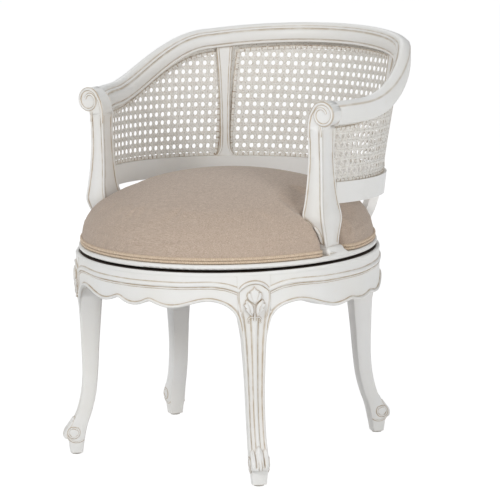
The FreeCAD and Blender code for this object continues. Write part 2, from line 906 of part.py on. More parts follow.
def make_rail_ring():
    """Whole lower rail, raked outwards, round its own centre."""
    inner = rail_inner_radius
    outer = inner + rail_thickness
    corners = [
        (inner, 0, rail_top - rail_height),
        (outer, 0, rail_top - rail_height),
        (outer + rail_rake, 0, rail_top + rail_lip),
        (inner + rail_rake, 0, rail_top),
    ]
    face = polygon_face(corners)
    ring = face.revolve(ORIGIN, UP, 360)
    ring.translate(FreeCAD.Vector(0, rail_centre, 0))
    pivot = FreeCAD.Vector(0, -arm_joint_front, rail_top)
    ring.rotate(pivot, FreeCAD.Vector(1, 0, 0), -rail_pitch)
    return ring


def back_wedge(start, end):
    """Wedge behind the sitter between two angles, round the lower rail's centre."""
    steps = 6
    points = [(0, rail_centre, 0)]
    for step in range(steps + 1):
        edge = back_point(wide, start + (end - start) * step / steps, 0, rail_centre)
        points.append((edge.x, edge.y, 0))
    return polygon_face(points).extrude(UP * back_height * 1.2)


def cane_section(angle):
    """Upright strip of the cane at an angle, let a little into its frame."""
    low_radius = rail_inner_radius + cane_set_back
    high_radius = crest_inner_radius + cane_set_back
    rail_edge = rail_level(back_point(low_radius, angle, 0, rail_centre).y)
    high = crest_bottom(angle) + cane_let_in
    low = rail_edge - cane_let_in
    whole = crest_bottom(0) - rail_top
    share = (high - low) / whole
    points = []
    corners = [(0, 0), (0, cane_thickness), (share, cane_thickness), (share, 0)]
    for climb, depth in corners:
        bottom = back_point(low_radius + depth, angle, low, rail_centre)
        top = back_point(high_radius + depth, angle, low, crest_centre)
        place = bottom * (1 - climb) + top * climb
        place.z = low + whole * climb
        points.append(place)
    return Part.makePolygon(points + points[:1])


def cane_span(start, end, count):
    """Loft of the cane between two angles."""
    angles = [start + (end - start) * index / (count - 1) for index in range(count)]
    return Part.makeLoft([cane_section(angle) for angle in angles], True, False)


def cane_openings(start, end):
    """Plain grid of openings, in place of the open weave, between two angles."""
    low_radius = rail_inner_radius + cane_set_back
    high_radius = crest_inner_radius + cane_set_back
    middle_radius = (low_radius + high_radius) / 2
    middle_centre = (rail_centre + crest_centre) / 2
    pitch_angle = math.degrees(cane_opening_pitch / middle_radius)
    border_angle = math.degrees(cane_border / middle_radius)
    room = end - start - border_angle * 2
    columns = int(room / pitch_angle)
    reach = cane_border * 2
    openings = []
    for column in range(columns):
        angle = (start + end) / 2 + (column - (columns - 1) / 2) * pitch_angle
        low = rail_level(back_point(low_radius, angle, 0, rail_centre).y) + cane_border
        high = crest_bottom(angle) - cane_border
        rows = int((high - low + cane_opening_pitch - cane_opening) / cane_opening_pitch)
        for row in range(rows):
            height = (low + high) / 2 + (row - (rows - 1) / 2) * cane_opening_pitch
            corner = FreeCAD.Vector(
                -cane_opening / 2, middle_radius - reach, height - cane_opening / 2
            )
            opening = Part.makeBox(cane_opening, reach * 2, cane_opening, corner)
            opening.rotate(ORIGIN, UP, -angle)
            opening.translate(FreeCAD.Vector(0, middle_centre, 0))
            openings.append(opening)
    return Part.makeCompound(openings)


def biggest(shape):
    """The largest solid of a cut, without the slivers past its neighbours."""
    return max(shape.Solids, key=lambda solid: solid.Volume)


def make_back():
    """Crest, arm rails, posts, stiles, lower rails and caned panels."""
    post_left = make_arm_post()
    post_right = mirrored(post_left)
    stile_left = make_stile()
    arm_end = arm_end_angle()
    crest = crest_span(-crest_joint_angle, crest_joint_angle, crest_section_count)
    arm_left = behind_volute(crest_span(crest_joint_angle, arm_end, arm_section_count))
    arm_left = arm_left.cut(post_left)
    arm_right = mirrored(arm_left)
    dowels = crest_dowels()
    stile_left = biggest(stile_left.cut(crest))
    stile_right = mirrored(stile_left)
    ring = make_rail_ring()
    side_wedge = back_wedge(stile_rail_angle, rail_end_angle)
    back = back_wedge(-stile_rail_angle, stile_rail_angle)
    keep = FreeCAD.Vector(-wide, -post_neck_front + post_corner_run, 0)
    behind_posts = Part.makeBox(wide * 2, wide * 2, wide, keep)
    rail_left = ring.common(side_wedge).common(behind_posts).cut(post_left)
    rail_left = biggest(rail_left.cut(stile_left))
    rail_back = biggest(ring.common(back).cut(stile_left).cut(stile_right))
    save("rail_left", rail_left)
    save("rail_right", mirrored(rail_left))
    save("rail_back", rail_back)
    inside_stile = stile_rail_angle - cane_stile_overlap
    past_stile = stile_rail_angle + cane_stile_overlap
    cane_side = cane_span(past_stile, cane_end_angle, cane_side_count)
    cane_side = cane_side.cut(post_left).cut(stile_left).cut(arm_left).cut(crest)
    cane_side = biggest(cane_side.cut(ring))
    cane_side = cane_side.cut(cane_openings(past_stile, cane_end_angle - cane_stile_overlap))
    cane_back = cane_span(-inside_stile, inside_stile, cane_back_count)
    cane_back = cane_back.cut(stile_left).cut(stile_right).cut(crest)
    cane_back = biggest(cane_back.cut(ring))
    cane_back = cane_back.cut(cane_openings(-inside_stile, inside_stile))
    save("cane_left", cane_side)
    save("cane_right", mirrored(cane_side))
    save("cane_back", cane_back)
    post_x = post_inner + post_foot_width / 2
    post_y = -(post_foot_front - post_foot_depth / 2)
    post_tenon = tenon(post_x, post_y, 0)
    foot_middle, face = stile_middle(ring_top)
    stile_tenon = tenon(foot_middle.x, foot_middle.y, -face)
    tenons = [post_tenon, mirrored(post_tenon), stile_tenon, mirrored(stile_tenon)]
    save("arm_post_left", post_left.fuse(post_tenon))
    save("arm_post_right", post_right.fuse(tenons[1]))
    save("back_stile_left", stile_left.fuse(stile_tenon))
    save("back_stile_right", stile_right.fuse(tenons[3]))
    save("crest_rail", crest.cut(dowels))
    save("arm_rail_left", arm_left.cut(dowels))
    save("arm_rail_right", arm_right.cut(dowels))
    save("crest_dowels", dowels)
    return Part.makeCompound(tenons)


def cushion_outline():
    """Plan of the cushion: a disc notched round the posts and the stiles."""
    disc = Part.Face(Part.Wire(Part.makeCircle(cushion_radius, FreeCAD.Vector(0, 0, ring_top))))
    reach = cushion_radius
    front = post_neck_front + post_belly_forward + notch_clearance
    back = post_neck_front - post_neck_depth - post_belly_back - notch_clearance
    inner = post_inner - post_belly_inward - notch_clearance
    corner = FreeCAD.Vector(inner, -front, ring_top - 1)
    post_notch = Part.makeBox(reach, front - back, 2, corner)
    middle, face = stile_middle(ring_top)
    half = stile_foot_width / 2 + notch_clearance
    depth = stile_foot_radius - stile_thickness / 2 - notch_clearance
    stile_notch = Part.makeBox(half * 2, reach, 2, FreeCAD.Vector(-half, depth, ring_top - 1))
    stile_notch.rotate(ORIGIN, UP, -math.degrees(math.atan2(middle.x, middle.y)))
    for notch in (post_notch, mirrored(post_notch), stile_notch, mirrored(stile_notch)):
        disc = disc.cut(notch)
    face = disc.Faces[0]
    rounded = face.makeOffset2D(-notch_corner_round).makeOffset2D(notch_corner_round)
    return rounded.Faces[0]


def dome(inset, bottom):
    """Domed solid of revolution: upright edge, round shoulder and flatter crown, all tangent."""
    radius = cushion_radius + dome_overhang - inset
    height = cushion_height - inset
    shoulder = cushion_shoulder_radius - inset
    rise = height - cushion_edge_height
    reach = radius - shoulder
    crown = (reach**2 + rise**2 - shoulder**2) / (2 * (rise - shoulder))
    lean = math.atan2(reach, crown - rise)
    edge_top = bottom + cushion_edge_height

    def on_shoulder(angle):
        across = reach + shoulder * math.sin(angle)
        return FreeCAD.Vector(across, 0, edge_top + shoulder * math.cos(angle))

    def on_crown(angle):
        drop = crown * (1 - math.cos(angle))
        return FreeCAD.Vector(crown * math.sin(angle), 0, bottom + height - drop)

    upright = math.pi / 2
    joint = on_crown(lean)
    low = FreeCAD.Vector(0, 0, bottom)
    edge = FreeCAD.Vector(radius, 0, bottom)
    edges = [
        Part.makeLine(low, edge),
        Part.makeLine(edge, on_shoulder(upright)),
        Part.Arc(on_shoulder(upright), on_shoulder((lean + upright) / 2), joint).toShape(),
        Part.Arc(joint, on_crown(lean / 2), on_crown(0)).toShape(),
        Part.makeLine(on_crown(0), low),
    ]
    return turned(Part.Face(Part.Wire(edges)).revolve(ORIGIN, UP, 360), seam_turn)


def make_cushion():
    """Foam, linen cover over it and the braid round its edge."""
    outline = cushion_outline()
    base = ring_top + soft_clearance
    outline.translate(FreeCAD.Vector(0, 0, soft_clearance))
    reach = UP * cushion_height * 2
    outer = dome(0, base).common(outline.extrude(reach))
    inset = outline.makeOffset2D(-cover_thickness).Faces[0]
    core = dome(cover_thickness, base).common(inset.extrude(reach))
    room = cylinder(
        ring_inner_radius + rebate_width + soft_clearance,
        deck_top + soft_clearance,
        ORIGIN,
    )
    save("seat_foam", core.cut(room))
    save("seat_cover", outer.cut(core).cut(room))
    band = outline.makeOffset2D(gimp_thickness).Faces[0].extrude(UP * gimp_height)
    save("seat_gimp", band.cut(outline.extrude(UP * gimp_height * 2)).cut(room))


def make_glides():
    """Nailed glides under the four pegs."""
    radius = apron_radius + toe_reach - peg_set_in
    spreads = (-rear_leg_spread, -front_leg_spread, front_leg_spread, rear_leg_spread)
    places = [polar(radius, base_turn + spread, 0) for spread in spreads]
    glides = [cylinder(glide_radius, glide_thickness, place) for place in places]
    save("foot_glides", Part.makeCompound(glides))


def main():
    os.makedirs("parts", exist_ok=True)
    make_base_frame()
    make_glides()
    make_base_board()
    deck_screws = make_bearing()
    make_deck(deck_screws)
    tenons = make_back()
    make_seat_ring(tenons)
    make_cushion()


main()
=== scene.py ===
"""Swivel tub chair in antique white paint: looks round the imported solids, in metres."""

import json
import math

import bmesh
import bpy
from mathutils import Matrix, Vector


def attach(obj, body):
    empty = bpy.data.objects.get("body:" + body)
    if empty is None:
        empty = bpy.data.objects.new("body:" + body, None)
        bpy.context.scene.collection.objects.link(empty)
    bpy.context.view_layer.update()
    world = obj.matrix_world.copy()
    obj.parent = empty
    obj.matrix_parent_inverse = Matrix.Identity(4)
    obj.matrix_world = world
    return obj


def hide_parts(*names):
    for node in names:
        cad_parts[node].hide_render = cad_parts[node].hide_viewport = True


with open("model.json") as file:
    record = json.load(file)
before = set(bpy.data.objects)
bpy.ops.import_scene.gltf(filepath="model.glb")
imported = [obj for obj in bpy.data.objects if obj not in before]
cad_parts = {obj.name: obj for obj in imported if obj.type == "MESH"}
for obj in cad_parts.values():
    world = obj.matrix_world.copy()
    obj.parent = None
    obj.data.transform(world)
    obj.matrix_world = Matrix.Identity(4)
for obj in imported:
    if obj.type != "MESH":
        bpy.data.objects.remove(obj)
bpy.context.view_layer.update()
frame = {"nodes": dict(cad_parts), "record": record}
nodes = frame["nodes"]

MM = 0.001
UP = Vector((0, 0, 1))

# The base and its legs
BASE_TURN = 92.5
LEG_SPREADS = {"front_right": -49.75, "front_left": 49.75, "rear_left": 143.5, "rear_right": -143.5}
APRON_RADIUS = 272.0
APRON_LIP_LEVEL = 368.0
KNEE_HALF = 28.5

# The back
CREST_CENTRE = 90.0
CREST_INNER = 256.0
CREST_THICK = 31.0
CREST_DEPTH = 36.0
ARM_DEPTH = 40.0
BACK_TOP = 740.0
ARM_TOP = 650.0
CREST_DROP = 10.0
SWEEP = (50.0, 104.0)
ARM_SWELL = 13.0
ARM_SWELL_ANGLE = 24.0
ARM_END = 122.8
CREST_JOINT = 52.0
ARM_FRONT = -45.0
RAIL_CENTRE = 55.0
RAIL_INNER = 239.0
RAIL_TOP = 505.0
RAIL_PITCH = 2.6
CANE_SET_BACK = 10.3
STILE_RAIL_ANGLE = 41.5
STILE_CREST_ANGLE = 44.5
RING_TOP = 385.0
CUSHION_RADIUS = 263.0
SOFT_ROOM = 0.3


# Helpers


def deselect():
    """Nothing selected, in object mode."""
    if bpy.context.mode != "OBJECT":
        bpy.ops.object.mode_set(mode="OBJECT")
    bpy.ops.object.select_all(action="DESELECT")


def pick(*pieces):
    """Only these pieces selected, the last one active."""
    deselect()
    for piece in pieces:
        piece.select_set(True)
    bpy.context.view_layer.objects.active = pieces[-1]


def edit_all(piece):
    """Edit mode with the whole piece selected."""
    pick(piece)
    bpy.ops.object.mode_set(mode="EDIT")
    bpy.ops.mesh.select_all(action="SELECT")


def outward_normals(piece, merge=0.00002):
    """Merges doubles and turns all faces outwards."""
    edit_all(piece)
    bpy.ops.mesh.remove_doubles(threshold=merge)
    bpy.ops.mesh.normals_make_consistent(inside=False)
    bpy.ops.object.mode_set(mode="OBJECT")


def smooth(piece, angle=40):
    """Smooth shading across edges flatter than an angle."""
    pick(piece)
    bpy.ops.object.shade_smooth_by_angle(angle=math.radians(angle))


def linked(name, data):
    """A mesh, lamp or camera as an object in the scene."""
    made = bpy.data.objects.new(name, data)
    bpy.context.scene.collection.objects.link(made)
    return made


def apply_all(piece):
    """Applies a piece's modifiers in order."""
    pick(piece)
    for name in [modifier.name for modifier in piece.modifiers]:
        bpy.ops.object.modifier_apply(modifier=name)


def join(pieces, name):
    """One piece out of several."""
    pick(*pieces)
    if len(pieces) > 1:
        bpy.ops.object.join()
    whole = bpy.context.object
    whole.name = name
    return whole


def dress(piece, name, body, slot, stands_for=(), material=None):
    """Names a finished piece, gives it its material and its place in the chair."""
    piece.name = name
    piece.data.materials.clear()
    piece.data.materials.append(material or FINISHES[slot])
    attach(piece, body)
    if stands_for:
        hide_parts(*stands_for)


def dress_pair(left, name, slot, stands_for=None, material=None):
    """Dresses a left-hand piece of the seat and its mirrored copy; {} in the names is the side."""
    right = mirrored_copy(left, name.format("right"))
    for piece, side in ((left, "left"), (right, "right")):
        nodes_shown = [stands_for.format(side)] if stands_for else ()
        dress(piece, name.format(side), "seat", slot, nodes_shown, material)


def extrude_run(name, sections, angle, glaze=None):
    """A disc shaped to the first section and extruded to each of the others, smooth up to an angle."""
    deselect()
    bpy.ops.mesh.primitive_circle_add(vertices=len(sections[0]), fill_type="NGON")
    piece = bpy.context.object
    piece.name = name
    for vertex, place in zip(piece.data.vertices, sections[0]):
        vertex.co = place
    edit_all(piece)
    for before, section in zip(sections, sections[1:]):
        bpy.ops.mesh.extrude_region_move()
        mesh = bmesh.from_edit_mesh(piece.data)
        moved = {key(start): end for start, end in zip(before, section)}
        for vertex in mesh.verts:
            if vertex.select:
                vertex.co = moved[key(vertex.co)]
        bmesh.update_edit_mesh(piece.data)
    bpy.ops.mesh.select_all(action="SELECT")
    bpy.ops.mesh.normals_make_consistent(inside=False)
    bpy.ops.object.mode_set(mode="OBJECT")
    if glaze:
        stains = {}
        for index, section in enumerate(sections):
            row = glaze[index] if isinstance(glaze[0], list) else glaze
            stains.update(zip(map(key, section), row))
        stain_points(piece.data, [stains.get(key(vertex.co), 0.0) for vertex in piece.data.vertices])
    smooth(piece, angle)
    return piece


def stain_points(mesh, stains):
    """Writes how much glaze was left on each point, which the paint reads."""
    mesh.attributes.new("glaze", "FLOAT", "POINT").data.foreach_set("value", stains)


class Carving:
    """Gathers carved forms as one mesh, each point with the glaze that was left on it."""

    def __init__(self):
        self.places = []
        self.faces = []
        self.glaze = []

    def loft(self, rings, stains, closed=True, capped=True):
        """Skin through rings of points; stains is a list for one ring, or one list per ring."""
        first = len(self.places)
        size = len(rings[0])
        for index, ring in enumerate(rings):
            self.places.extend(ring)
            self.glaze.extend(stains[index] if isinstance(stains[0], list) else stains)
        for row in range(len(rings) - 1):
            for index in range(size if closed else size - 1):
                a = first + row * size + index
                b = first + row * size + (index + 1) % size
                self.faces.append((a, b, b + size, a + size))
        if closed and capped:
            self.faces.append(tuple(reversed(range(first, first + size))))
            last = first + (len(rings) - 1) * size
            self.faces.append(tuple(range(last, last + size)))

    def mould(self, line, profile, loop=False):
        """Moulding along a line of (place, normal, scale); profile has (across, lift, glaze) in mm."""
        if len(line) < 3:
            return
        rings = []
        count = len(line)
        for index, (place, normal, scale) in enumerate(line):
            before = line[(index - 1) % count if loop else max(index - 1, 0)][0]
            after = line[(index + 1) % count if loop else min(index + 1, count - 1)][0]
            side = normal.cross(after - before).normalized()
            rings.append([
                place + side * (across * scale * MM) + normal * (lift * min(1.0, scale) * MM)
                for across, lift, _ in profile])
        if loop:
            rings.append(rings[0])
        self.loft(rings, [stain for _, _, stain in profile], capped=not loop)

    def draw(self, surface, points, profile, scale_at=lambda share: 1.0):
        """Moulding along points laid on a surface, its scale read along the line."""
        line = []
        for index, point in enumerate(points):
            spot = surface(*point)
            if spot:
                line.append((*spot, scale_at(index / (len(points) - 1))))
        self.mould(line, profile)

    def pillow(self, outline, centre, surface, lift):
        """Carved leaf with a domed face, its outline in mm laid on a surface."""
        rings = []
        stains = []
        steps = ((1.14, -0.3, 1.0), (1.03, 0.1, 1.0), (0.96, 0.55 * lift, 0.55), (0.85, 0.9 * lift, 0.0),
                 (0.6, lift, 0.0), (0.3, 0.92 * lift, 0.0))
        for share, height, stain in steps:
            ring = []
            for x, z in outline:
                spot = surface(centre[0] + (x - centre[0]) * share, centre[1] + (z - centre[1]) * share)
                if spot is None:
                    return
                place, normal = spot
                ring.append(place + normal * height * MM)
            rings.append(ring)
            stains.append([stain] * len(outline))
        self.loft(rings, stains)

    def piece(self, name, angle=50):
        """The gathered mesh as an object."""
        data = bpy.data.meshes.new(name)
        data.from_pydata(self.places, [], self.faces)
        stain_points(data, self.glaze)
        made = linked(name, data)
        outward_normals(made, 0.000005)
        smooth(made, angle)
        return made


def bead(width, lift, line=1.0, stain=1.0):
    """Round bead with a stained line along both sides, as a profile for mould."""
    return (
        (-width - line, -0.4, stain * 0.6), (-width - line * 0.8, 0.06, stain), (-width - 0.05, 0.1, stain),
        (-width * 0.62, lift * 0.78, 0.1), (0, lift, 0.0), (width * 0.62, lift * 0.78, 0.1),
        (width + 0.05, 0.1, stain), (width + line * 0.8, 0.06, stain), (width + line, -0.4, stain * 0.6),
        (0, -1.2, 0.0),
    )


def evenly(start, end, steps):
    """Values from start to end in even steps, both ends included."""
    return [start + (end - start) * step / steps for step in range(steps + 1)]


def key(place):
    """A place rounded, to find it again."""
    return tuple(round(value * 200000) for value in place)


def polar(radius, azimuth, height):
    """Point round the swivel axis, its azimuth counted from -Y towards +X, in mm."""
    turn = math.radians(azimuth)
    return Vector((radius * math.sin(turn), -radius * math.cos(turn), height)) * MM


def back_place(radius, angle, height, centre):
    """Point behind the sitter at an angle from the middle of the back, in mm."""
    turn = math.radians(angle)
    return Vector((radius * math.sin(turn), centre + radius * math.cos(turn), height)) * MM


def ramp_between(value, table):
    """Straight-line reading of a table of (place, value) pairs."""
    pairs = sorted(table)
    if value <= pairs[0][0]:
        return pairs[0][1]
    for (low, first), (high, last) in zip(pairs, pairs[1:]):
        if value <= high:
            return first + (last - first) * (value - low) / (high - low)
    return pairs[-1][1]


def ease(value, low, high):
    """0 below low, 1 above high, and a smooth step between."""
    share = min(1.0, max(0.0, (value - low) / (high - low)))
    return share * share * (3 - 2 * share)


def smooth_between(value, table):
    """Reading of a table of (place, value) pairs along a smooth curve through them."""
    pairs = sorted(table)
    if value <= pairs[0][0]:
        return pairs[0][1]
    slopes = []
    for (low, first), (high, last) in zip(pairs[:1] + pairs, pairs[1:] + pairs[-1:]):
        slopes.append((last - first) / (high - low))
    for index, ((low, first), (high, last)) in enumerate(zip(pairs, pairs[1:])):
        if value <= high:
            run = high - low
            t = (value - low) / run
            return (
                (2 * t ** 3 - 3 * t ** 2 + 1) * first + (t ** 3 - 2 * t ** 2 + t) * run * slopes[index]
                + (3 * t ** 2 - 2 * t ** 3) * last + (t ** 3 - t ** 2) * run * slopes[index + 1])
    return pairs[-1][1]


def curve_through(points, steps=6):
    """Smooth line through points, each corner rounded by a spline."""
    line = []
    padded = [Vector(point) for point in (points[0], *points, points[-1])]
    for p0, p1, p2, p3 in zip(padded, padded[1:], padded[2:], padded[3:]):
        for step in range(steps):
            t = step / steps
            line.append(tuple(0.5 * (
                2 * p1 + (p2 - p0) * t + (2 * p0 - 5 * p1 + 4 * p2 - p3) * t ** 2
                + (3 * p1 - 3 * p2 + p3 - p0) * t ** 3)))
    return line + [tuple(points[-1])]


def both_sides(half):
    """A half outline and its mirror, as one line through the middle."""
    return [*half, *[(-x, z) for x, z in reversed(half[:-1])]]


def compass(azimuth):
    """Unit vectors outwards and to the side at an azimuth."""
    return polar(1 / MM, azimuth, 0), polar(1 / MM, azimuth + 90, 0)


def bump_at(value, middle, width):
    """1 at the middle, falling to 0 on both sides like a bell."""
    return math.exp(-((value - middle) / width) ** 2)


def onto(surface, start, direction):
    """Where a ray from start meets a piece, as (place, normal)."""
    hit, place, normal, _ = surface.ray_cast(start, direction.normalized())
    return (place, normal) if hit else None


def cut_off(piece, place, direction):
    """Cuts away what lies beyond a plane and closes the cut."""
    edit_all(piece)
    bpy.ops.mesh.bisect(plane_co=place, plane_no=direction, use_fill=True, clear_outer=True)
    bpy.ops.object.mode_set(mode="OBJECT")
    smooth(piece, 34)


def changed_copy(piece, name, change):
    """Copy with its own mesh, turned or mirrored by a matrix."""
    pick(piece)
    bpy.ops.object.duplicate(linked=False)
    copy = bpy.context.object
    copy.name = name
    copy.data.transform(change)
    return copy


def mirrored_copy(piece, name):
    """Copy with its own mesh, on the other side of the middle plane."""
    copy = changed_copy(piece, name, Matrix.Scale(-1, 4, (1, 0, 0)))
    copy.data.flip_normals()
    return copy


# Finishes


class Nodes:
    """A node tree and the short ways to build it."""

    def __init__(self, tree):
        self.tree = tree

    def node(self, kind, inputs=None, **values):
        made = self.tree.nodes.new(kind)
        for name, value in values.items():
            setattr(made, name, value)
        for name, value in (inputs or {}).items():
            self.feed(made.inputs[name], value)
        return made

    def feed(self, socket, value):
        if isinstance(value, bpy.types.NodeSocket):
            self.tree.links.new(value, socket)
        else:
            socket.default_value = value

    def sum(self, kind, first, second=0.0):
        return self.node("ShaderNodeMath", {0: first, 1: second}, operation=kind).outputs[0]

    def show(self, output, share, first, second):
        """Mixes two shaders into an output node."""
        mixed = self.node("ShaderNodeMixShader", {0: share, 1: first.outputs[0], 2: second.outputs[0]})
        self.feed(self.tree.nodes[output].inputs["Surface"], mixed.outputs[0])


class Finish(Nodes):
    """A material, read in the object's own coordinates."""

    def __init__(self, name):
        self.material = bpy.data.materials.new(name)
        self.material.use_nodes = True
        super().__init__(self.material.node_tree)
        self.shader = self.tree.nodes["Principled BSDF"]
        self.place = self.node("ShaderNodeTexCoord").outputs["Object"]

    def noise(self, scale, detail=3.0, rough=0.5, stretch=None):
        place = self.place
        if stretch:
            place = self.node("ShaderNodeMapping", {"Vector": place, "Scale": stretch}).outputs["Vector"]
        settings = {"Vector": place, "Scale": scale, "Detail": detail, "Roughness": rough}
        return self.node("ShaderNodeTexNoise", settings).outputs["Fac"]

    def spread(self, value, low, high, out_low=0.0, out_high=1.0):
        ends = {"Value": value, "From Min": low, "From Max": high, "To Min": out_low, "To Max": out_high}
        return self.node("ShaderNodeMapRange", ends, clamp=True).outputs["Result"]

    def blend(self, share, first, second):
        """Mix of two colours; a colour is three numbers or a socket."""
        first, second = [(*side, 1.0) if isinstance(side, tuple) else side for side in (first, second)]
        return self.node("ShaderNodeMix", {0: share, 6: first, 7: second}, data_type="RGBA").outputs[2]

    def stain(self, body, share, amount, shade):
        """The body colour with a shade over it, as strong as share times amount."""
        return self.blend(self.sum("MULTIPLY", share, amount), body, shade)

    def hollow(self, reach, low, high):
        """1 in hollows and corners narrower than a reach, 0 on open faces: the mask by which the finishes paint shade
        into their colour.
        """
        return self.spread(
            self.node("ShaderNodeAmbientOcclusion", {"Distance": reach}, samples=6).outputs["AO"], high, low)

    def finished(self, height, strength, distance, **settings):
        """The material with its relief and its shader settings; _ in a name is a space."""
        bump = {"Strength": strength, "Distance": distance, "Height": height}
        self.feed(self.shader.inputs["Normal"], self.node("ShaderNodeBump", bump).outputs["Normal"])
        for name, value in settings.items():
            self.feed(self.shader.inputs[name.replace("_", " ")], value)
        return self.material


def antique_paint():
    """Off-white eggshell paint over wood, with tan glaze left in its carved lines, and painted shade in the same tan in
    hollows and corners.
    """
    finish = Finish("antique_white_paint")
    cloudy = finish.spread(finish.noise(9, 4), 0.35, 0.7)
    body = finish.blend(cloudy, (0.845, 0.835, 0.815), (0.824, 0.806, 0.766))
    rubbed = finish.spread(finish.noise(55, 5, 0.65), 0.58, 0.75, 0, 0.28)
    body = finish.blend(rubbed, body, (0.803, 0.760, 0.685))
    lines = finish.node("ShaderNodeAttribute", attribute_name="glaze").outputs["Fac"]
    # Painted shade: the occlusion mask darkens hollows and corners towards the glaze colour; the glaze attribute adds
    # the real glaze lines on top.
    left = finish.sum("MAXIMUM", finish.sum("MULTIPLY", finish.hollow(0.006, 0.40, 0.90), 0.75), lines)
    broken = finish.spread(finish.noise(60, 4), 0.3, 0.62, 0.45, 1.0)
    rough = finish.spread(finish.noise(70, 3), 0.3, 0.7, 0.34, 0.48)
    return finish.finished(
        finish.noise(900, 3, 0.6, (1.0, 1.0, 0.25)), 0.10, 0.0006, Roughness=rough, Specular_IOR_Level=0.35,
        Base_Color=finish.stain(body, left, broken, (0.46, 0.355, 0.235)))


def woven_cane():
    """Cane strands under thin white paint, with brown specks and painted shade in the hollows where the strands cross.
    """
    finish = Finish("woven_cane")
    body = finish.blend(finish.spread(finish.noise(120, 4), 0.3, 0.7), (0.86, 0.84, 0.80), (0.76, 0.72, 0.66))
    body = finish.blend(finish.spread(finish.noise(520, 2), 0.62, 0.68), body, (0.42, 0.36, 0.28))
    # Painted shade: darker brown where the strands cross and sink into each other's hollows.
    body = finish.stain(body, finish.hollow(0.0025, 0.25, 0.85), 0.6, (0.50, 0.43, 0.34))
    rough = finish.spread(finish.noise(200, 2), 0.3, 0.7, 0.45, 0.62)
    return finish.finished(finish.noise(1500, 2), 0.25, 0.0004, Roughness=rough, Base_Color=body)


def linen():
    """Beige plain-weave linen with slubs and a heather of light and dark threads."""
    finish = Finish("linen")
    threads = [finish.noise(1150, 2, 0.6, stretch) for stretch in ((1.0, 0.06, 1.0), (0.06, 1.0, 1.0))]
    heather = finish.sum("ADD", *threads)
    body = finish.blend(finish.spread(heather, 0.72, 1.28), (0.395, 0.298, 0.228), (0.665, 0.540, 0.442))
    for grain, low, high, amount, shade in (
        ((230, 3, 0.7), 0.55, 0.72, 0.35, (0.74, 0.63, 0.53)),
        ((150, 3, 0.7), 0.35, 0.65, 0.28, (0.45, 0.345, 0.265)),
        ((310, 2, 0.6), 0.42, 0.28, 0.3, (0.32, 0.235, 0.175)),
    ):
        body = finish.stain(body, finish.spread(finish.noise(*grain), low, high), amount, shade)
    split = finish.node("ShaderNodeSeparateXYZ", {0: finish.place})
    weft, warp = [finish.sum("SINE", finish.sum("MULTIPLY", split.outputs[axis], 7200.0)) for axis in "XY"]
    return finish.finished(
        finish.sum("ADD", finish.sum("MULTIPLY", weft, warp), heather), 0.35, 0.0005,
        Roughness=finish.spread(heather, 0.7, 1.3, 0.8, 0.95), Base_Color=body,
        Sheen_Weight=0.25, Sheen_Roughness=0.5, Specular_IOR_Level=0.15)


def braid():
    """Tan two-row braid of twisted thread, with painted shade in the hollows between its plaits."""
    finish = Finish("gimp_braid")
    tone = finish.spread(finish.noise(260, 4, 0.7), 0.3, 0.7)
    body = finish.blend(tone, (0.56, 0.415, 0.285), (0.76, 0.62, 0.475))
    # Painted shade: dark brown in the hollows between the plaits.
    body = finish.stain(body, finish.hollow(0.003, 0.2, 0.85), 0.7, (0.28, 0.19, 0.11))
    rough = finish.spread(tone, 0, 1, 0.75, 0.9)
    return finish.finished(
        finish.noise(2600, 2), 0.5, 0.0005, Roughness=rough, Base_Color=body, Sheen_Weight=0.2)


def grained(name, grain, tone, first, second, rough, relief, over=(0.3, 0.7), fine=None):
    """Two colours mixed along one grain, which roughens the face too; fine is a relief of its own."""
    finish = Finish(name)
    pattern = finish.noise(*grain)
    return finish.finished(
        finish.noise(*fine) if fine else pattern, *relief, Roughness=finish.spread(pattern, *over, *rough),
        Base_Color=finish.blend(finish.spread(pattern, *tone), first, second))


def pressed_steel():
    """Zinc-plated steel with spangle and light scratches."""
    finish = Finish("pressed_steel")
    spangle = finish.node("ShaderNodeTexVoronoi", {"Vector": finish.place, "Scale": 90})
    tone = finish.spread(spangle.outputs["Distance"], 0.0, 0.8)
    rough = finish.spread(finish.noise(300, 4), 0.3, 0.7, 0.28, 0.5)
    return finish.finished(
        finish.noise(500, 3), 0.1, 0.0003, Roughness=rough, Metallic=1.0,
        Base_Color=finish.blend(tone, (0.55, 0.56, 0.58), (0.42, 0.43, 0.45)))


PLYWOOD = grained("deck_plywood", (9, 6, 0.7, (16, 1.5, 16)), (0.3, 0.7), (0.56, 0.41, 0.24), (0.43, 0.29, 0.16),
                  (0.55, 0.75), (0.2, 0.0006))
# The stitch cane also colours the dark strand outside the binder, which paints the shadow line along the groove there,
# with glaze in it.
STITCH = grained("stitch_cane", (170, 4, 0.7), (0.35, 0.6), (0.30, 0.20, 0.12), (0.74, 0.68, 0.59), (0.5, 0.7),
                 (0.3, 0.0004), (0.35, 0.6), (1300, 2))
FINISHES = {
    "painted_wood": antique_paint(),
    "cane": woven_cane(),
    "linen": linen(),
    "gimp": braid(),
    "deck_wood": PLYWOOD,
    "foam": PLYWOOD,
    "frame_wood": grained(
        "plain_beech", (9, 6, 0.7, (18, 18, 1.5)), (0.3, 0.7), (0.50, 0.33, 0.18), (0.38, 0.23, 0.12), (0.55, 0.75),
        (0.2, 0.0006)),
    # The board under the seat ring is near black: a stained board whose darkness also paints the shade in the gap under
    # the ring.
    "dark_board": grained(
        "stained_board_painted_shade", (140, 5, 0.7), (0.3, 0.7), (0.040, 0.024, 0.017), (0.065, 0.042, 0.030), (0.7, 0.9),
        (0.3, 0.0004)),
    "bearing_steel": pressed_steel(),
    "glide": grained(
        "glide_nylon", (160, 4, 0.7), (0.45, 0.75), (0.62, 0.60, 0.55), (0.33, 0.31, 0.28), (0.35, 0.6),
        (0.2, 0.0004)),
}


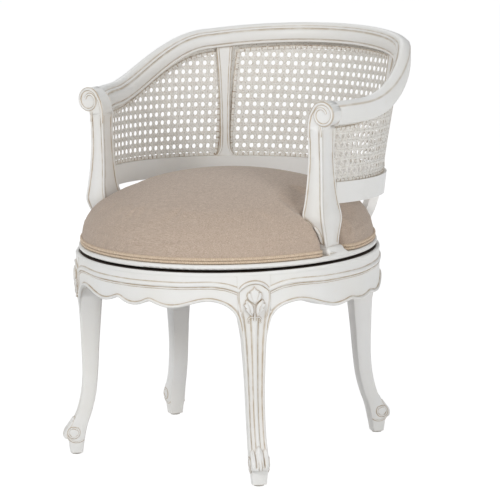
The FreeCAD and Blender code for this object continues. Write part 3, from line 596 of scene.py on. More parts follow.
def refinish_nodes():
    """Gives every carried-over CAD node the finish of its slot."""
    for subpart in frame["record"]["subparts"]:
        for slot in nodes[subpart["node"]].material_slots:
            slot.material = FINISHES[subpart["material_slot"]]


# Crest and arm rails


def crest_share(angle):
    """0 along the back, 1 along the arms."""
    return min(1.0, max(0.0, (abs(angle) - SWEEP[0]) / (SWEEP[1] - SWEEP[0])))


def crest_level(angle):
    """Top of the crest and arm rails, in mm."""
    sweep = (1 - math.cos(math.pi * crest_share(angle))) / 2
    crown = CREST_DROP * min(1.0, abs(angle) / SWEEP[0]) ** 2
    return (BACK_TOP - crown) * (1 - sweep) + ARM_TOP * sweep


def crest_bottom(angle):
    """Underside of the crest and arm rails, in mm."""
    rise = crest_level(abs(angle) - 1) - crest_level(abs(angle) + 1)
    slope = math.hypot(1.0, rise / (math.radians(2) * (CREST_INNER + CREST_THICK / 2)))
    return crest_level(angle) - (CREST_DEPTH + (ARM_DEPTH - CREST_DEPTH) * crest_share(angle)) * slope


def arm_thickening(angle):
    """How much the arm rail swells outwards before the volute, in mm."""
    share = min(1.0, max(0.0, (abs(angle) - ARM_END + ARM_SWELL_ANGLE) / ARM_SWELL_ANGLE))
    return ARM_SWELL * (1 - math.cos(math.pi * share)) / 2


CREST_GLAZE = 0.75
# Outline of the crest: share of the thickness from the cane side, share of the depth, glaze
CREST_MOULDING = (
    (0.03, 0.0, 0.3), (0.0, 0.03, 0), (0.0, 0.085, 0), (0.035, 0.115, 0.5), (0.08, 0.135, 1), (0.045, 0.165, 0.6),
    (0.03, 0.2, 0), (0.03, 0.3, 0), (0.035, 0.42, 0), (0.07, 0.55, 0), (0.115, 0.625, 0.1), (0.165, 0.66, 0.7),
    (0.19, 0.70, 1), (0.16, 0.735, 0.6), (0.165, 0.77, 0), (0.205, 0.81, 0), (0.25, 0.815, 0.3), (0.29, 0.80, 1),
    (0.315, 0.825, 0.8), (0.325, 0.865, 0.1), (0.37, 0.93, 0), (0.45, 0.98, 0), (0.56, 1.0, 0), (0.70, 0.99, 0),
    (0.83, 0.95, 0), (0.92, 0.89, 0.1), (0.97, 0.848, 0.7), (0.962, 0.82, 0.9), (0.985, 0.795, 0.5), (1.0, 0.76, 0),
    (1.0, 0.5, 0), (1.0, 0.2, 0), (0.975, 0.07, 0), (0.91, 0.01, 0), (0.84, 0.0, 0), (0.5, 0.0, 0),
)


def crest_section(angle):
    """The moulding's outline at an angle."""
    low = crest_bottom(angle)
    high = crest_level(angle)
    thick = CREST_THICK + arm_thickening(angle)
    return [back_place(CREST_INNER + thick * across, angle, low + (high - low) * climb, CREST_CENTRE)
            for across, climb, _ in CREST_MOULDING]


def crest_length(name, start, end, steps):
    """One length of the moulded rail, extruded step by step round its circle."""
    sections = [crest_section(angle) for angle in evenly(start, end, steps)]
    return extrude_run(name, sections, 34, [CREST_GLAZE * stain for _, _, stain in CREST_MOULDING])


def make_crest():
    """Crest rail, and the two arm rails cut off square against the back of their volutes."""
    crest = crest_length("crest_rail_moulded", -CREST_JOINT, CREST_JOINT, 52)
    dress(crest, "crest_rail_moulded", "seat", "painted_wood", ["crest_rail"])
    arm = crest_length("arm_rail_moulded_left", CREST_JOINT, ARM_END + 4, 44)
    cut_off(arm, (0, ARM_FRONT * MM, 0), (0, -1, 0))
    dress_pair(arm, "arm_rail_moulded_{}", "painted_wood", "arm_rail_{}")


# Cane panels: pitch and widths of the strands in mm, and their way over and under each other
PITCH_ALONG = 14.2
PITCH_UP = 15.3
PANEL_HEIGHT = 232.0
CANE_MIDDLE = 256.5
PAIR_OFFSETS = (-1.95, 1.95)
PAIR_WIDTH = 3.4
DIAGONAL_WIDTH = 3.0
STRAND_THICK = 0.75
UPRIGHT_DEPTHS = (-0.45, -0.2, 0.0, -0.2)
LEVEL_DEPTHS = (0.45, 0.2, 0.0, 0.2)
DIAGONAL_DEPTHS = (-0.9, 0.0, 0.9, 0.0)
BINDER_WIDTH = 4.6
BINDER_LIFT = 1.5
BORDER_FOOT = 7.0
BORDER_HEAD = 18.0
BORDER_STEPS = 30
BORDER_STRANDS = (4.6, 9.0, 13.4)
SIDE_STRAND_RISE = 16.0
GROOVE_SHIFT = 3.3
STITCH_PITCH = 10.5
STITCH_WIDTH = 1.9
INTO_RAIL = 3.0
INTO_CREST = 7.0
# Where the arm panels' cane and their binder start and end, in degrees from the middle of the back
ARM_CANE = (41.9, 116.2)
ARM_BINDER_END = 114.6
# Cross-section of a strand: shares of its half width and of its thickness
STRAND_SECTION = ((-1, -0.25), (-0.55, 0.5), (0.55, 0.5), (1, -0.25), (0.6, -0.5), (-0.6, -0.5))


def rail_level(back):
    """Top of the lower rail at a distance behind the swivel axis, in mm."""
    return RAIL_TOP - (back - ARM_FRONT) * math.tan(math.radians(RAIL_PITCH))


def cane_low(angle):
    """Foot of the cane, let into the lower rail."""
    low_radius = RAIL_INNER + CANE_SET_BACK - 1.3
    return rail_level(RAIL_CENTRE + low_radius * math.cos(math.radians(angle))) - INTO_RAIL


def cane_place(along, climb, depth):
    """Point of the cane: along its run and up from the rail in mm, and out of its middle face."""
    angle = math.degrees(along / CANE_MIDDLE)
    whole = crest_bottom(0) - RAIL_TOP
    share = climb / whole
    low = cane_low(angle)
    bottom = back_place(RAIL_INNER + CANE_SET_BACK + depth, angle, low, RAIL_CENTRE)
    top = back_place(CREST_INNER + CANE_SET_BACK + depth, angle, low, CREST_CENTRE)
    place = bottom * (1 - share) + top * share
    place.z = (low + climb) * MM
    return place


def cane_head(along):
    """How far up the cane runs at a place, let into the crest."""
    angle = math.degrees(along / CANE_MIDDLE)
    return crest_bottom(angle) + INTO_CREST - cane_low(angle)


def along_at(angle):
    """How far along its run the cane is at an angle, in mm."""
    return math.radians(angle) * CANE_MIDDLE


def strand(mesh, path, width):
    """Flat strand with a rounded face along a path of (along, climb, depth)."""
    rings = []
    for index, (along, climb, depth) in enumerate(path):
        before = path[max(index - 1, 0)]
        after = path[min(index + 1, len(path) - 1)]
        run = Vector((after[0] - before[0], after[1] - before[1])).normalized()
        side = Vector((-run.y, run.x)) * (width / 2)
        ring = []
        for across, lift in STRAND_SECTION:
            ring.append(mesh.verts.new(cane_place(
                along + side.x * across, climb + side.y * across, depth + lift * STRAND_THICK)))
        rings.append(ring)
    sides = len(STRAND_SECTION)
    for first, second in zip(rings, rings[1:]):
        for index in range(sides):
            after = (index + 1) % sides
            mesh.faces.new((first[index], first[after], second[after], second[index]))
    mesh.faces.new(rings[0])
    mesh.faces.new(reversed(rings[-1]))


def runs_inside(path, start, end):
    """The stretches of a strand that lie inside a panel."""
    kept = [[]]
    for point in path:
        if start <= point[0] <= end and 0 <= point[1] <= cane_head(point[0]):
            kept[-1].append(point)
        else:
            kept.append([])
    return [run for run in kept if len(run) > 1]


def panel_piece(name, mesh):
    """The strands laid so far as an object."""
    data = bpy.data.meshes.new(name)
    bmesh.ops.recalc_face_normals(mesh, faces=mesh.faces)
    mesh.to_mesh(data)
    mesh.free()
    piece = linked(name, data)
    smooth(piece, 50)
    return piece


def weave(name, start, end, border, filled):
    """Panel of paired uprights and levels, diagonals between their holes, and the binder round it.

    Filled sides of the border are woven solid between the binder and the stile."""
    mesh = bmesh.new()
    first = math.ceil(start / PITCH_ALONG - 0.5)
    last = math.floor(end / PITCH_ALONG + 0.5)
    rows = int(PANEL_HEIGHT / PITCH_UP) + 1
    along_step = PITCH_ALONG / 4
    up_step = PITCH_UP / 4
    paths = []
    for column in range(first, last + 1):
        for offset in PAIR_OFFSETS:
            paths.append((PAIR_WIDTH, [(column * PITCH_ALONG + offset, step * up_step, UPRIGHT_DEPTHS[step % 4])
                                       for step in range(rows * 4)]))
    for row in range(rows):
        for offset in PAIR_OFFSETS:
            paths.append((PAIR_WIDTH, [(step * along_step, row * PITCH_UP + offset, LEVEL_DEPTHS[step % 4])
                                       for step in range((first - 1) * 4, (last + 1) * 4 + 1)]))
    for lean in (-1, 1):
        for line in range(first - rows - 1, last + rows + 2):
            foot = (line + 0.5) * PITCH_ALONG
            paths.append((DIAGONAL_WIDTH, [
                (foot + lean * step * along_step, step * up_step, DIAGONAL_DEPTHS[step % 4] * lean)
                for step in range(rows * 4)]))
    for width, path in paths:
        for run in runs_inside(path, start, end):
            strand(mesh, run, width)
    for face in (-1, 1):
        for side in border:
            strand(mesh, [(along, climb, BINDER_LIFT * face) for along, climb in side], BINDER_WIDTH)
    for lift in BORDER_STRANDS:
        strand(mesh, [(along, climb + lift, 0.0) for along, climb in border[1]], BINDER_WIDTH)
    for number in filled:
        for shift in (BINDER_WIDTH, BINDER_WIDTH * 2):
            step = shift if number == 3 else -shift
            side = [(along + step, climb, 0.0) for along, climb in border[number]]
            side.append((side[-1][0], side[-1][1] + SIDE_STRAND_RISE, 0.0))
            strand(mesh, side, BINDER_WIDTH)
    return panel_piece(name, mesh)


def stitches(name, border):
    """Dark strand along the groove outside the binder, a painted shadow line with glaze in it, and the loops of split
    cane that hold the binder down.
    """
    mesh = bmesh.new()
    middle = Vector((sum(a for a, _ in border[0]) / len(border[0]), sum(b for _, b in border[1]) / len(border[1]) / 2))
    for side in border:
        shadow_and_glaze_line = []
        for (a, b), (c, d) in zip(side, side[1:] + side[-2:-1]):
            across = Vector((b - d, c - a)).normalized()
            if across.dot(Vector((a, b)) - middle) < 0:
                across.negate()
            shadow_and_glaze_line.append((a + across.x * GROOVE_SHIFT, b + across.y * GROOVE_SHIFT))
        # Painted shadow line: a dark strand on both faces where the binder meets the frame, partly glaze in the groove.
        for face in (-1, 1):
            strand(mesh, [(along, climb, 1.1 * face) for along, climb in shadow_and_glaze_line], STITCH_WIDTH)
        run = 0.0
        for (a, b), (c, d) in zip(side, side[1:]):
            length = math.hypot(c - a, d - b)
            across = Vector((b - d, c - a)).normalized() * (BINDER_WIDTH * 0.5 + 0.5)
            while run < length:
                share = run / length
                along = a + (c - a) * share
                climb = b + (d - b) * share
                for face in (-1, 1):
                    strand(mesh, [
                        (along + across.x * s, climb + across.y * s, (1.2 + 1.1 * (1 - abs(s))) * face)
                        for s in (-1, -0.6, 0, 0.6, 1)], STITCH_WIDTH)
                run += STITCH_PITCH
            run -= length
    return panel_piece(name, mesh)


def border_of(low_angle, high_angle, low_edge, high_edge):
    """Binder round a panel: bottom, top and both sides in (along, climb), set in from what frames it."""
    shares = evenly(0, 1, BORDER_STEPS)

    def between(share, level):
        low = along_at(low_angle) + low_edge(level)
        return low + (along_at(high_angle) - high_edge(level) - low) * share

    border = [
        [(between(share, 0.0), BORDER_FOOT) for share in shares],
        [(place, cane_head(place) - BORDER_HEAD) for place in [between(share, 1.0) for share in shares]],
    ]
    for angle, edge, sign, corner in ((low_angle, low_edge, 1, 0), (high_angle, high_edge, -1, -1)):
        rise = border[1][corner][1] - BORDER_FOOT
        border.append([(along_at(angle) + sign * edge(share), BORDER_FOOT + rise * share) for share in shares])
    return border


STILE_REACH = ((0.0, 10.0), (0.04, 6.8), (0.2, 5.6), (0.5, 6.4), (0.75, 8.6), (0.92, 11.8), (1.0, 14.0))


def stile_edge(share):
    """How far the stile reaches over the cane from its panel's edge angle, in mm."""
    return ramp_between(share, STILE_REACH)


def make_cane():
    """The back panel, and the left panel with its mirrored copy."""
    def beside_stile(share):
        return stile_edge(share) + 4.9 - 4.4 * share ** 2

    edge = STILE_RAIL_ANGLE
    border = border_of(-edge, edge, beside_stile, beside_stile)
    back = weave("cane_back_woven", along_at(-edge), along_at(edge), border, (2, 3))
    dress(back, "cane_back_woven", "seat", "cane", ["cane_back"])
    dress(stitches("cane_stitches_back", border), "cane_stitches_back", "seat", "cane", (), STITCH)
    border = border_of(edge, ARM_BINDER_END, lambda share: stile_edge(share) + 10.5, lambda share: 4.0)
    side = weave("cane_left_woven", *map(along_at, ARM_CANE), border, (2,))
    dress_pair(side, "cane_{}_woven", "cane", "cane_{}")
    dress_pair(stitches("cane_stitches_left", border), "cane_stitches_{}", "cane", None, STITCH)


# Carved legs


# Leg: front and back from the swivel axis, and width, at a height, in mm
LEG_FRONT = ((368, 274), (302, 274), (279, 272.6), (251, 271), (199, 269.5), (150, 269), (111, 272.7), (80, 280.4),
             (68, 285.6), (58, 291.2), (52, 296.2), (46, 300.6), (41, 303), (36, 303.8), (31, 302.4), (28, 300.2),
             (24.5, 298.2), (14, 296.6), (2.8, 295.2))
LEG_BACK = ((368, 228), (302, 229), (279, 230.6), (251, 233), (199, 237.5), (150, 241), (111, 245.7), (80, 253.4),
            (57, 261.6), (46, 264.6), (26, 268.6), (2.8, 272.4))
LEG_WIDTH = ((368, 57.6), (302, 56.8), (279, 50), (251, 42), (199, 36), (150, 32.5), (111, 32), (80, 32), (62, 33),
             (34, 33), (28, 31.6), (20, 29.2), (2.8, 26))

# Front of the shaft: share of the half width, depth in mm, glaze
SHAFT_MOULDING = (
    (-1.0, 4.8, 0), (-0.985, 2.8, 0), (-0.93, 1.3, 0), (-0.85, 0.7, 0), (-0.775, 1.3, 0.1), (-0.72, 3.0, 0.8),
    (-0.66, 3.9, 0.9), (-0.61, 3.7, 0.15), (-0.46, 4.1, 0), (-0.33, 3.7, 0.1), (-0.28, 3.7, 0.9), (-0.225, 3.0, 0.9),
    (-0.18, 1.6, 0.1), (-0.10, 0.4, 0), (0.0, 0.0, 0),
)


def leg_carved(height):
    """1 where the shaft is moulded, 0 at the knee and the foot."""
    return ease(-height, -316, -290) * ease(height, 46, 58)


def leg_section(height, azimuth):
    """Outline of the carved leg at a height, plain at the knee and moulded down the shaft."""
    outward = polar(1, azimuth, 0)
    beside = polar(1, azimuth + 90, 0)
    front = smooth_between(height, LEG_FRONT)
    depth = front - smooth_between(height, LEG_BACK)
    half = smooth_between(height, LEG_WIDTH) / 2
    carved = leg_carved(height)
    soft = ease(-height, -312, -300) * 3.2
    profile = []
    for share, deep, _ in SHAFT_MOULDING:
        plain = 3.0 * share ** 2 + soft * max(0.0, abs(share) - 0.93) / 0.07
        profile.append((share, plain * (1 - carved) + deep * carved))
    profile += [(-share, deep) for share, deep in reversed(profile[:-1])]
    back = [(1.0, depth * 0.6), (0.97, depth - 5), (0.88, depth - 1.6), (0.6, depth), (0.0, depth)]
    profile = [(-1.0, 8.0)] + profile + [(1.0, 8.0)] + back + [(-share, deep) for share, deep in back[-2::-1]]
    return [outward * (front - deep) + beside * (half * share) + UP * (height * MM) for share, deep in profile]


def leg_glaze(height):
    """Glaze round the leg's outline, fading out where the knee is plain."""
    shares = [stain * leg_carved(height) for _, _, stain in SHAFT_MOULDING]
    return [0.0] + shares + shares[-2::-1] + [0.0] * 10


# Leaves of the knee, as half outlines across and up in mm
PALMETTE = ((0, 347.1), (2.1, 343.5), (5.6, 340.7), (7.8, 340.4), (8.4, 337.0), (12.0, 336.6), (13.1, 331.4),
            (11.3, 325.7), (7.8, 322.2), (4.2, 319.7), (1.4, 316.9), (0, 316))
SIDE_LEAF = ((4.2, 316.6), (7.8, 320.2), (13.4, 325.0), (15.8, 322.6), (15.0, 318.3), (18.6, 317.0), (16.6, 312.6),
             (13.6, 310.2), (16.0, 308.6), (12.4, 303.8), (7.8, 299.2), (3.1, 295.0), (1.6, 302.2), (1.9, 310.1))

# Lines of the knee for one side: points across and up, bead, and how much it tapers
KNEE_LINES = (
    (((26.1, 340), (26.9, 334), (27.0, 326), (25.8, 317), (24.2, 308), (22.0, 299), (19.8, 290), (18.4, 282)),
     (0.8, 0.9, 1.0), 0.4),
    (((1.8, 293.6), (5.4, 293.4), (9.8, 291.4), (12.0, 287.2), (10.6, 283.6), (8.0, 284.4), (8.2, 287.0)),
     (1.3, 1.7, 0.9), 0.4),
    (((3.2, 297.5), (6.4, 305), (9.4, 312.5), (12.8, 321)), (0.7, 5.2, 0.5, 0.8), 0.0),
    (((1.4, 319.5), (4.0, 326), (6.4, 333), (7.2, 338.5)), (0.6, 5.5, 0.5, 0.7), 0.0),
)
ARCH = ((-26.4, 339.5), (-22.0, 345.2), (-15.5, 350.4), (-8, 353.4), (0, 354.4))
PALMETTE_CENTRE = (0, 330.5)
PALMETTE_LIFT = 4.8
SIDE_LEAF_CENTRE = (8.6, 309)
SIDE_LEAF_LIFT = 4.4
LEG_HEIGHTS = [368.9, *[366 - step * 5.5 for step in range(56)], *[60.5 - step * 2.9 for step in range(20)], 2.9]
# How far in front of the swivel axis the rays start that find a leg's face, in metres
RAY_START = 0.42


def leg_start(azimuth, across, height):
    """A place in front of the leg, in metres, from which a ray runs inwards; across and height in mm."""
    outward, beside = compass(azimuth)
    return outward * RAY_START + beside * (across * MM) + UP * (height * MM)


def make_legs():
    """One carved leg with its cartouche, palmette, leaf cap and scrolls, copied to the others."""
    azimuth = BASE_TURN + LEG_SPREADS["front_right"]
    outward, _ = compass(azimuth)
    sections = [leg_section(height, azimuth) for height in LEG_HEIGHTS]
    shaft = extrude_run("leg_shaft", sections, 40, [leg_glaze(height) for height in LEG_HEIGHTS])
    bpy.context.view_layer.update()
    carving = Carving()

    def on_front(across, height):
        return onto(shaft, leg_start(azimuth, across, height), -outward)

    carving.draw(on_front, curve_through(both_sides(ARCH)), bead(2.9, 3.6, 1.2),
                 lambda share: 0.55 + 0.45 * min(1, 6 * min(share, 1 - share)))
    for side in (-1, 1):
        for points, shape, taper in KNEE_LINES:
            line = [(x * side, z) for x, z in curve_through(points)]
            carving.draw(on_front, line, bead(*shape), lambda share: 1.0 - taper * share)
        *leaf, centre = [(x * side, z) for x, z in (*SIDE_LEAF, SIDE_LEAF_CENTRE)]
        carving.pillow(leaf, centre, on_front, SIDE_LEAF_LIFT)
    carving.pillow(both_sides(PALMETTE)[:-1], PALMETTE_CENTRE, on_front, PALMETTE_LIFT)
    carving.draw(on_front, [(0, height) for height in range(315, 287, -3)], bead(2.0, 3.6),
                 lambda share: 0.6 + 0.4 * share)
    make_toe_cap(carving, shaft, azimuth)
    leg = join([carving.piece("leg_carving"), shaft], "leg_carved_front_right")
    for name, spread in LEG_SPREADS.items():
        if name != "front_right":
            turn = math.radians(spread - LEG_SPREADS["front_right"])
            copy = changed_copy(leg, "leg_carved_" + name, Matrix.Rotation(turn, 4, "Z"))
            dress(copy, "leg_carved_" + name, "base", "painted_wood", ["leg_" + name])
    dress(leg, "leg_carved_front_right", "base", "painted_wood", ["leg_front_right"])


# Leaf cap of the toe: mesh steps, where its side lobes start across, its edges and its lift in mm
TOE_COLUMNS = 40
TOE_ROWS = 20
LOBE_EDGE = 0.44
MIDDLE_LOBE_TOP = 70.0
CLEFT_TOP = 58.0
SIDE_LOBE_RISE = 7.0
TOE_FOOT = 28.6
TOE_LIFT = 4.0
# Scrolls on the foot's cheek: their centre in mm, then for each its start and step in degrees, radius and growth in
# mm, count and scale
SCROLL_AHEAD = 288.5
SCROLL_HEIGHT = 41.5
SCROLLS = ((128, 12, 10.4, -0.06, 32, 1.0), (-52, -6.5, 13.4, 0.62, 15, 0.85))


def make_toe_cap(carving, shaft, azimuth):
    """Three-lobed leaf over the toe, and the scroll on both cheeks of the foot."""
    outward, beside = compass(azimuth)
    rings = []
    stains = []
    for climb in evenly(0, 1, TOE_ROWS):
        ring = []
        stain_row = []
        for share in evenly(-1, 1, TOE_COLUMNS):
            away = abs(share)
            if away < LOBE_EDGE:
                top = MIDDLE_LOBE_TOP - (MIDDLE_LOBE_TOP - CLEFT_TOP) * (away / LOBE_EDGE) ** 1.8
            else:
                beyond = min(1, (away - LOBE_EDGE) / (1 - LOBE_EDGE))
                top = CLEFT_TOP + SIDE_LOBE_RISE * math.sin(math.pi * beyond) ** 0.8
            height = top + (TOE_FOOT - top) * climb
            half = smooth_between(height, LEG_WIDTH) / 2
            start = leg_start(azimuth, share * half * 0.985, height)
            place = (onto(shaft, start, -outward) or (start - outward * 0.12,))[0]
            below = top - height
            wide = 0.04 + 0.05 * ease(-height, -54, -38)
            cleft = bump_at(away, LOBE_EDGE, wide) * ease(below, 0, 3) * ease(height, 32, 38)
            flute = bump_at(away, 0.17, 0.05) * ease(-height, -52, -44) * 0.5
            lift = TOE_LIFT * ease(below, -0.5, 2.4) * (1 - cleft - flute) * math.sqrt(max(0.0, 1 - away ** 6))
            stain = min(1.0, max(cleft, flute * 1.3, 1 - ease(below, 0.2, 1.8)))
            if climb in (0, 1) or away == 1:
                lift, stain = -0.5, 0.8
            ring.append(place + outward * lift * MM)
            stain_row.append(stain)
        rings.append(ring)
        stains.append(stain_row)
    carving.loft(rings, stains, closed=False)
    for side in (-1, 1):
        for start, turn, radius, widen, count, scale in SCROLLS:
            line = []
            for step in range(count):
                angle = math.radians(start + step * turn)
                reach = radius + step * widen
                ahead = SCROLL_AHEAD + reach * math.cos(angle)
                place = outward * (ahead * MM) + UP * ((SCROLL_HEIGHT + reach * math.sin(angle)) * MM)
                spot = onto(shaft, place + beside * (side * 0.06), beside * -side)
                if spot:
                    line.append((spot[0], beside * side, scale))
            carving.mould(line, bead(1.35, 1.35, 1.2))


# Band across the aprons and bead along their lower edge: climb in mm, lift in mm, glaze
BAND_MOULDING = (
    (7.4, -0.4, 0.5), (7.0, 0.04, 0.9), (6.0, 0.14, 0.8), (5.0, 1.7, 0.1), (2.8, 3.1, 0), (0.2, 2.9, 0),
    (-1.5, 1.7, 0.1), (-2.2, 0.3, 1.0), (-3.0, 0.25, 1.0), (-3.7, 1.3, 0.2), (-4.8, 1.5, 0), (-5.7, 0.6, 0.8),
    (-6.5, 0.05, 1.0), (-7.0, -0.4, 0.6), (0, -1.2, 0),
)
EDGE_MOULDING = (
    (-0.6, -2.0, 0), (-0.6, 1.4, 0), (0.4, 3.0, 0), (2.1, 3.6, 0), (3.8, 2.4, 0.1), (4.7, 0.4, 1.0), (5.6, 0.08, 1.0),
    (6.3, -0.4, 0.5), (2.2, -2.0, 0),
)
BAND_LEVELS = ((0.0, 348), (0.25, 348.3), (0.5, 348.6), (0.75, 350.2), (0.88, 347.4), (0.95, 343.2), (1.0, 338.9))


def eased_line(line):
    """A carving line rounded where it turns a corner, with its normals and scales."""
    for _ in range(3):
        softer = [line[0]]
        for (a, m, s), (b, n, t), (c, o, u) in zip(line, line[1:], line[2:]):
            softer.append(((a + b * 2 + c) / 4, (m + n * 2 + o).normalized(), (s + t * 2 + u) / 4))
        line = softer + [line[-1]]
    return line


LIP_MOULDING = (
    (-3.4, -0.4, 0), (-2.4, 0.35, 0), (-0.6, 0.75, 0), (1.4, 0.8, 0), (2.9, 0.3, 0), (3.7, -1.0, 0), (3.8, -3.0, 0),
    (3.0, -5.2, 0), (0.6, -5.6, 0),
)
# The edge moulding runs on down the legs: height, how far inside the leg's edge, scale
EDGE_RUN_DOWN = ((303, -0.6, 0.95), (294, -0.2, 0.85), (284, 0.2, 0.7), (272, 0.5, 0.5), (258, 0.8, 0.3))
APRON_STEPS = 120
LIP_STEPS = 480
LIP_SWELL = 1.7
# From where a ray looks up for the lower edge of an apron, in metres: radius and height
EDGE_PROBE = (0.2705, 0.25)
# Points left out at both ends of an apron's edge, where it turns down the legs
EDGE_SPARE = 5


def make_lip():
    """Rounded lip round the top of the base, which swells a little over the knees."""
    rim = []
    for step in range(LIP_STEPS):
        azimuth = step * 360 / LIP_STEPS
        nearest = min(abs((azimuth - BASE_TURN - spread + 180) % 360 - 180) for spread in LEG_SPREADS.values())
        across = APRON_RADIUS * math.sin(math.radians(min(nearest, 80))) / KNEE_HALF
        outward, _ = compass(azimuth)
        radius = APRON_RADIUS + LIP_SWELL * max(0.0, 1 - across ** 2)
        rim.append((outward * (radius * MM) + UP * (APRON_LIP_LEVEL * MM), outward, 1.0))
    lip = Carving()
    lip.mould(rim, LIP_MOULDING, loop=True)
    dress(lip.piece("apron_lip"), "apron_lip", "base", "painted_wood")


def down_the_leg(spread, side):
    """The edge moulding's line down one edge of a leg."""
    ahead, beside = compass(BASE_TURN + spread)
    line = []
    for height, inset, scale in EDGE_RUN_DOWN:
        half = smooth_between(height, LEG_WIDTH) / 2 - inset
        face = smooth_between(height, LEG_FRONT) - 2.6
        place = ahead * (face * MM) + beside * (side * half * MM) + UP * (height * MM)
        line.append((place, (ahead * 0.8 + beside * (side * 0.6)).normalized(), scale))
    return line


def make_apron_carving():
    """Raised band and edge moulding of each apron."""
    order = ("front_right", "front_left", "rear_left", "rear_right")
    knee = math.degrees(math.asin(KNEE_HALF / APRON_RADIUS)) - 0.35
    for name, leg, after in zip(("front", "left", "rear", "right"), order, order[1:] + order[:1]):
        start = BASE_TURN + LEG_SPREADS[leg] + knee
        run = (BASE_TURN + LEG_SPREADS[after] - knee - start) % 360
        drop = 2.0 if name == "front" else 0.0
        edge = []
        band = []
        for share in evenly(0, 1, APRON_STEPS):
            outward, _ = compass(start + run * share)
            face = outward * (APRON_RADIUS * MM)
            found = onto(nodes["apron_" + name], outward * EDGE_PROBE[0] + UP * EDGE_PROBE[1], UP)
            if found:
                edge.append((face + UP * found[0].z, outward, 1.0))
            away = abs(share * 2 - 1)
            level = smooth_between(away, BAND_LEVELS) - drop * (1 - away)
            band.append((face + UP * (level * MM), outward, 1.0))
        carving = Carving()
        carving.mould(band, BAND_MOULDING)
        line = down_the_leg(LEG_SPREADS[leg], 1)[::-1] + edge[EDGE_SPARE:-EDGE_SPARE]
        carving.mould(eased_line(line + down_the_leg(LEG_SPREADS[after], -1)), EDGE_MOULDING)
        name = "apron_carving_" + name
        dress(carving.piece(name), name, "base", "painted_wood")


# Left arm post at a height, in mm: inner, outer, front and back
POST_INNER = ((385, 220), (405, 219), (425, 215.5), (440, 211.8), (452, 210.3), (475, 213.6), (505, 215.6),
              (548, 218.0), (580, 218.6), (597, 218.1), (603.5, 217.8), (613, 217.0))
POST_OUTER = ((385, 248.5), (405, 248.5), (425, 249.5), (440, 252), (452, 253), (475, 250.5), (505, 248), (548, 246),
              (613, 246))
POST_FRONT = ((385, 66), (405, 67), (425, 72.5), (440, 80), (452, 83.6), (475, 81.2), (505, 76.7), (548, 73.3),
              (603.5, 73), (613, 72.7))
POST_BACK = ((385, 24), (405, 23.5), (425, 19), (440, 18), (452, 20), (475, 25.5), (505, 29), (548, 30.6), (597, 29.7),
             (603.5, 28.9), (613, 28.9))
VOLUTE_X = 248.0
VOLUTE_Z = 631.0
VOLUTE_FACE = -73.0
PLINTH_TOP = 398.0
POST_HEIGHTS = [PLINTH_TOP - 1, PLINTH_TOP + 1.5, *[403 + step * 6.5 for step in range(30)], 597, 603.3, 608, 612]
POST_LEAF_LIFT = 2.6
# Steps and first radius of the volute's spiral, and radius of the bead round it, in mm
SPIRAL_STEPS = 54
SPIRAL_RADIUS = 19.4
VOLUTE_RADIUS = 21.5

# Outline of the post from its corners, in mm: along the side, cut in, glaze
FRONT_IN = ((0, 1.2, 0), (0.7, 0.2, 0), (2.2, 0, 0), (3.1, 0.4, 0.2), (3.8, 1.4, 1), (4.6, 1.5, 1), (5.4, 1.1, 0.1))
FRONT_OUT = ((-6.6, 1.1, 0.1), (-5.6, 1.5, 1), (-4.8, 1.4, 1), (-4.0, 0.4, 0.2), (-2.2, 0, 0), (-0.8, 0.15, 0))
SIDE_AHEAD = ((0.8, 0.15, 0), (2.2, 0, 0), (4.0, 0.4, 0.2), (4.8, 1.4, 1), (5.6, 1.5, 1), (6.8, 1.1, 0.1))
SIDE_BACK = ((-6.0, 1.1, 0.1), (-5.0, 1.5, 1), (-4.2, 1.4, 1), (-3.4, 0.4, 0.2), (-2.0, 0, 0), (-0.6, 0.3, 0))
INSIDE_BACK = ((-11, 0.3, 0), (-13, 0, 0), (-15, 0.4, 0.2), (-15.8, 1.4, 1), (-16.6, 1.5, 1), (-17.6, 1.1, 0.1))
INSIDE_AHEAD = ((7.2, 1.1, 0.1), (6.2, 1.5, 1), (5.4, 1.4, 1), (4.5, 0.4, 0.2), (2.6, 0, 0))
FLAT_MIDDLE = ((0, 0.9, 0),)


def post_section(height):
    """Outline of the carved post, beads on its arrises, and the glaze beside them."""
    inner = smooth_between(height, POST_INNER)
    outer = smooth_between(height, POST_OUTER)
    front = -smooth_between(height, POST_FRONT)
    back = -smooth_between(height, POST_BACK)
    carved = ease(-height, -612, -597) * ease(height, PLINTH_TOP + 1, PLINTH_TOP + 5)
    soft = carved * ease(-height, -596, -530)
    middle = (inner + outer) / 2
    outline = []
    for corner, row in ((inner, FRONT_IN), (middle, FLAT_MIDDLE), (outer, FRONT_OUT)):
        outline += [(corner + along, front + deep * (carved if deep > 1.2 else soft), stain)
                    for along, deep, stain in row]
    for corner, row in ((front, SIDE_AHEAD), ((front + back) / 2, FLAT_MIDDLE), (back, SIDE_BACK)):
        outline += [(outer - deep * (carved if deep > 1.2 else soft), corner + along, stain)
                    for along, deep, stain in row]
    outline += [(outer - 1.2, back, 0), (middle, back, 0), (inner + 9, back, 0), (inner + 5, back - 4, 0)]
    for corner, row in ((back, INSIDE_BACK), (front, INSIDE_AHEAD)):
        outline += [(inner + deep * carved, corner + along, stain) for along, deep, stain in row]
    return [Vector((x, y, height)) * MM for x, y, _ in outline], [stain * carved for _, _, stain in outline]


# Pad under the post: place from front to back, and how far its top edge drops there, in mm
PAD_STEPS = ((-68.9, 5.0), (-68.5, 2.4), (-67.4, 0.8), (-65.5, 0.0), (-45.0, 0.0), (-24.0, 0.0), (-22.2, 0.8),
             (-21.1, 2.4), (-20.7, 5.0))
PAD_REACH = 266.6

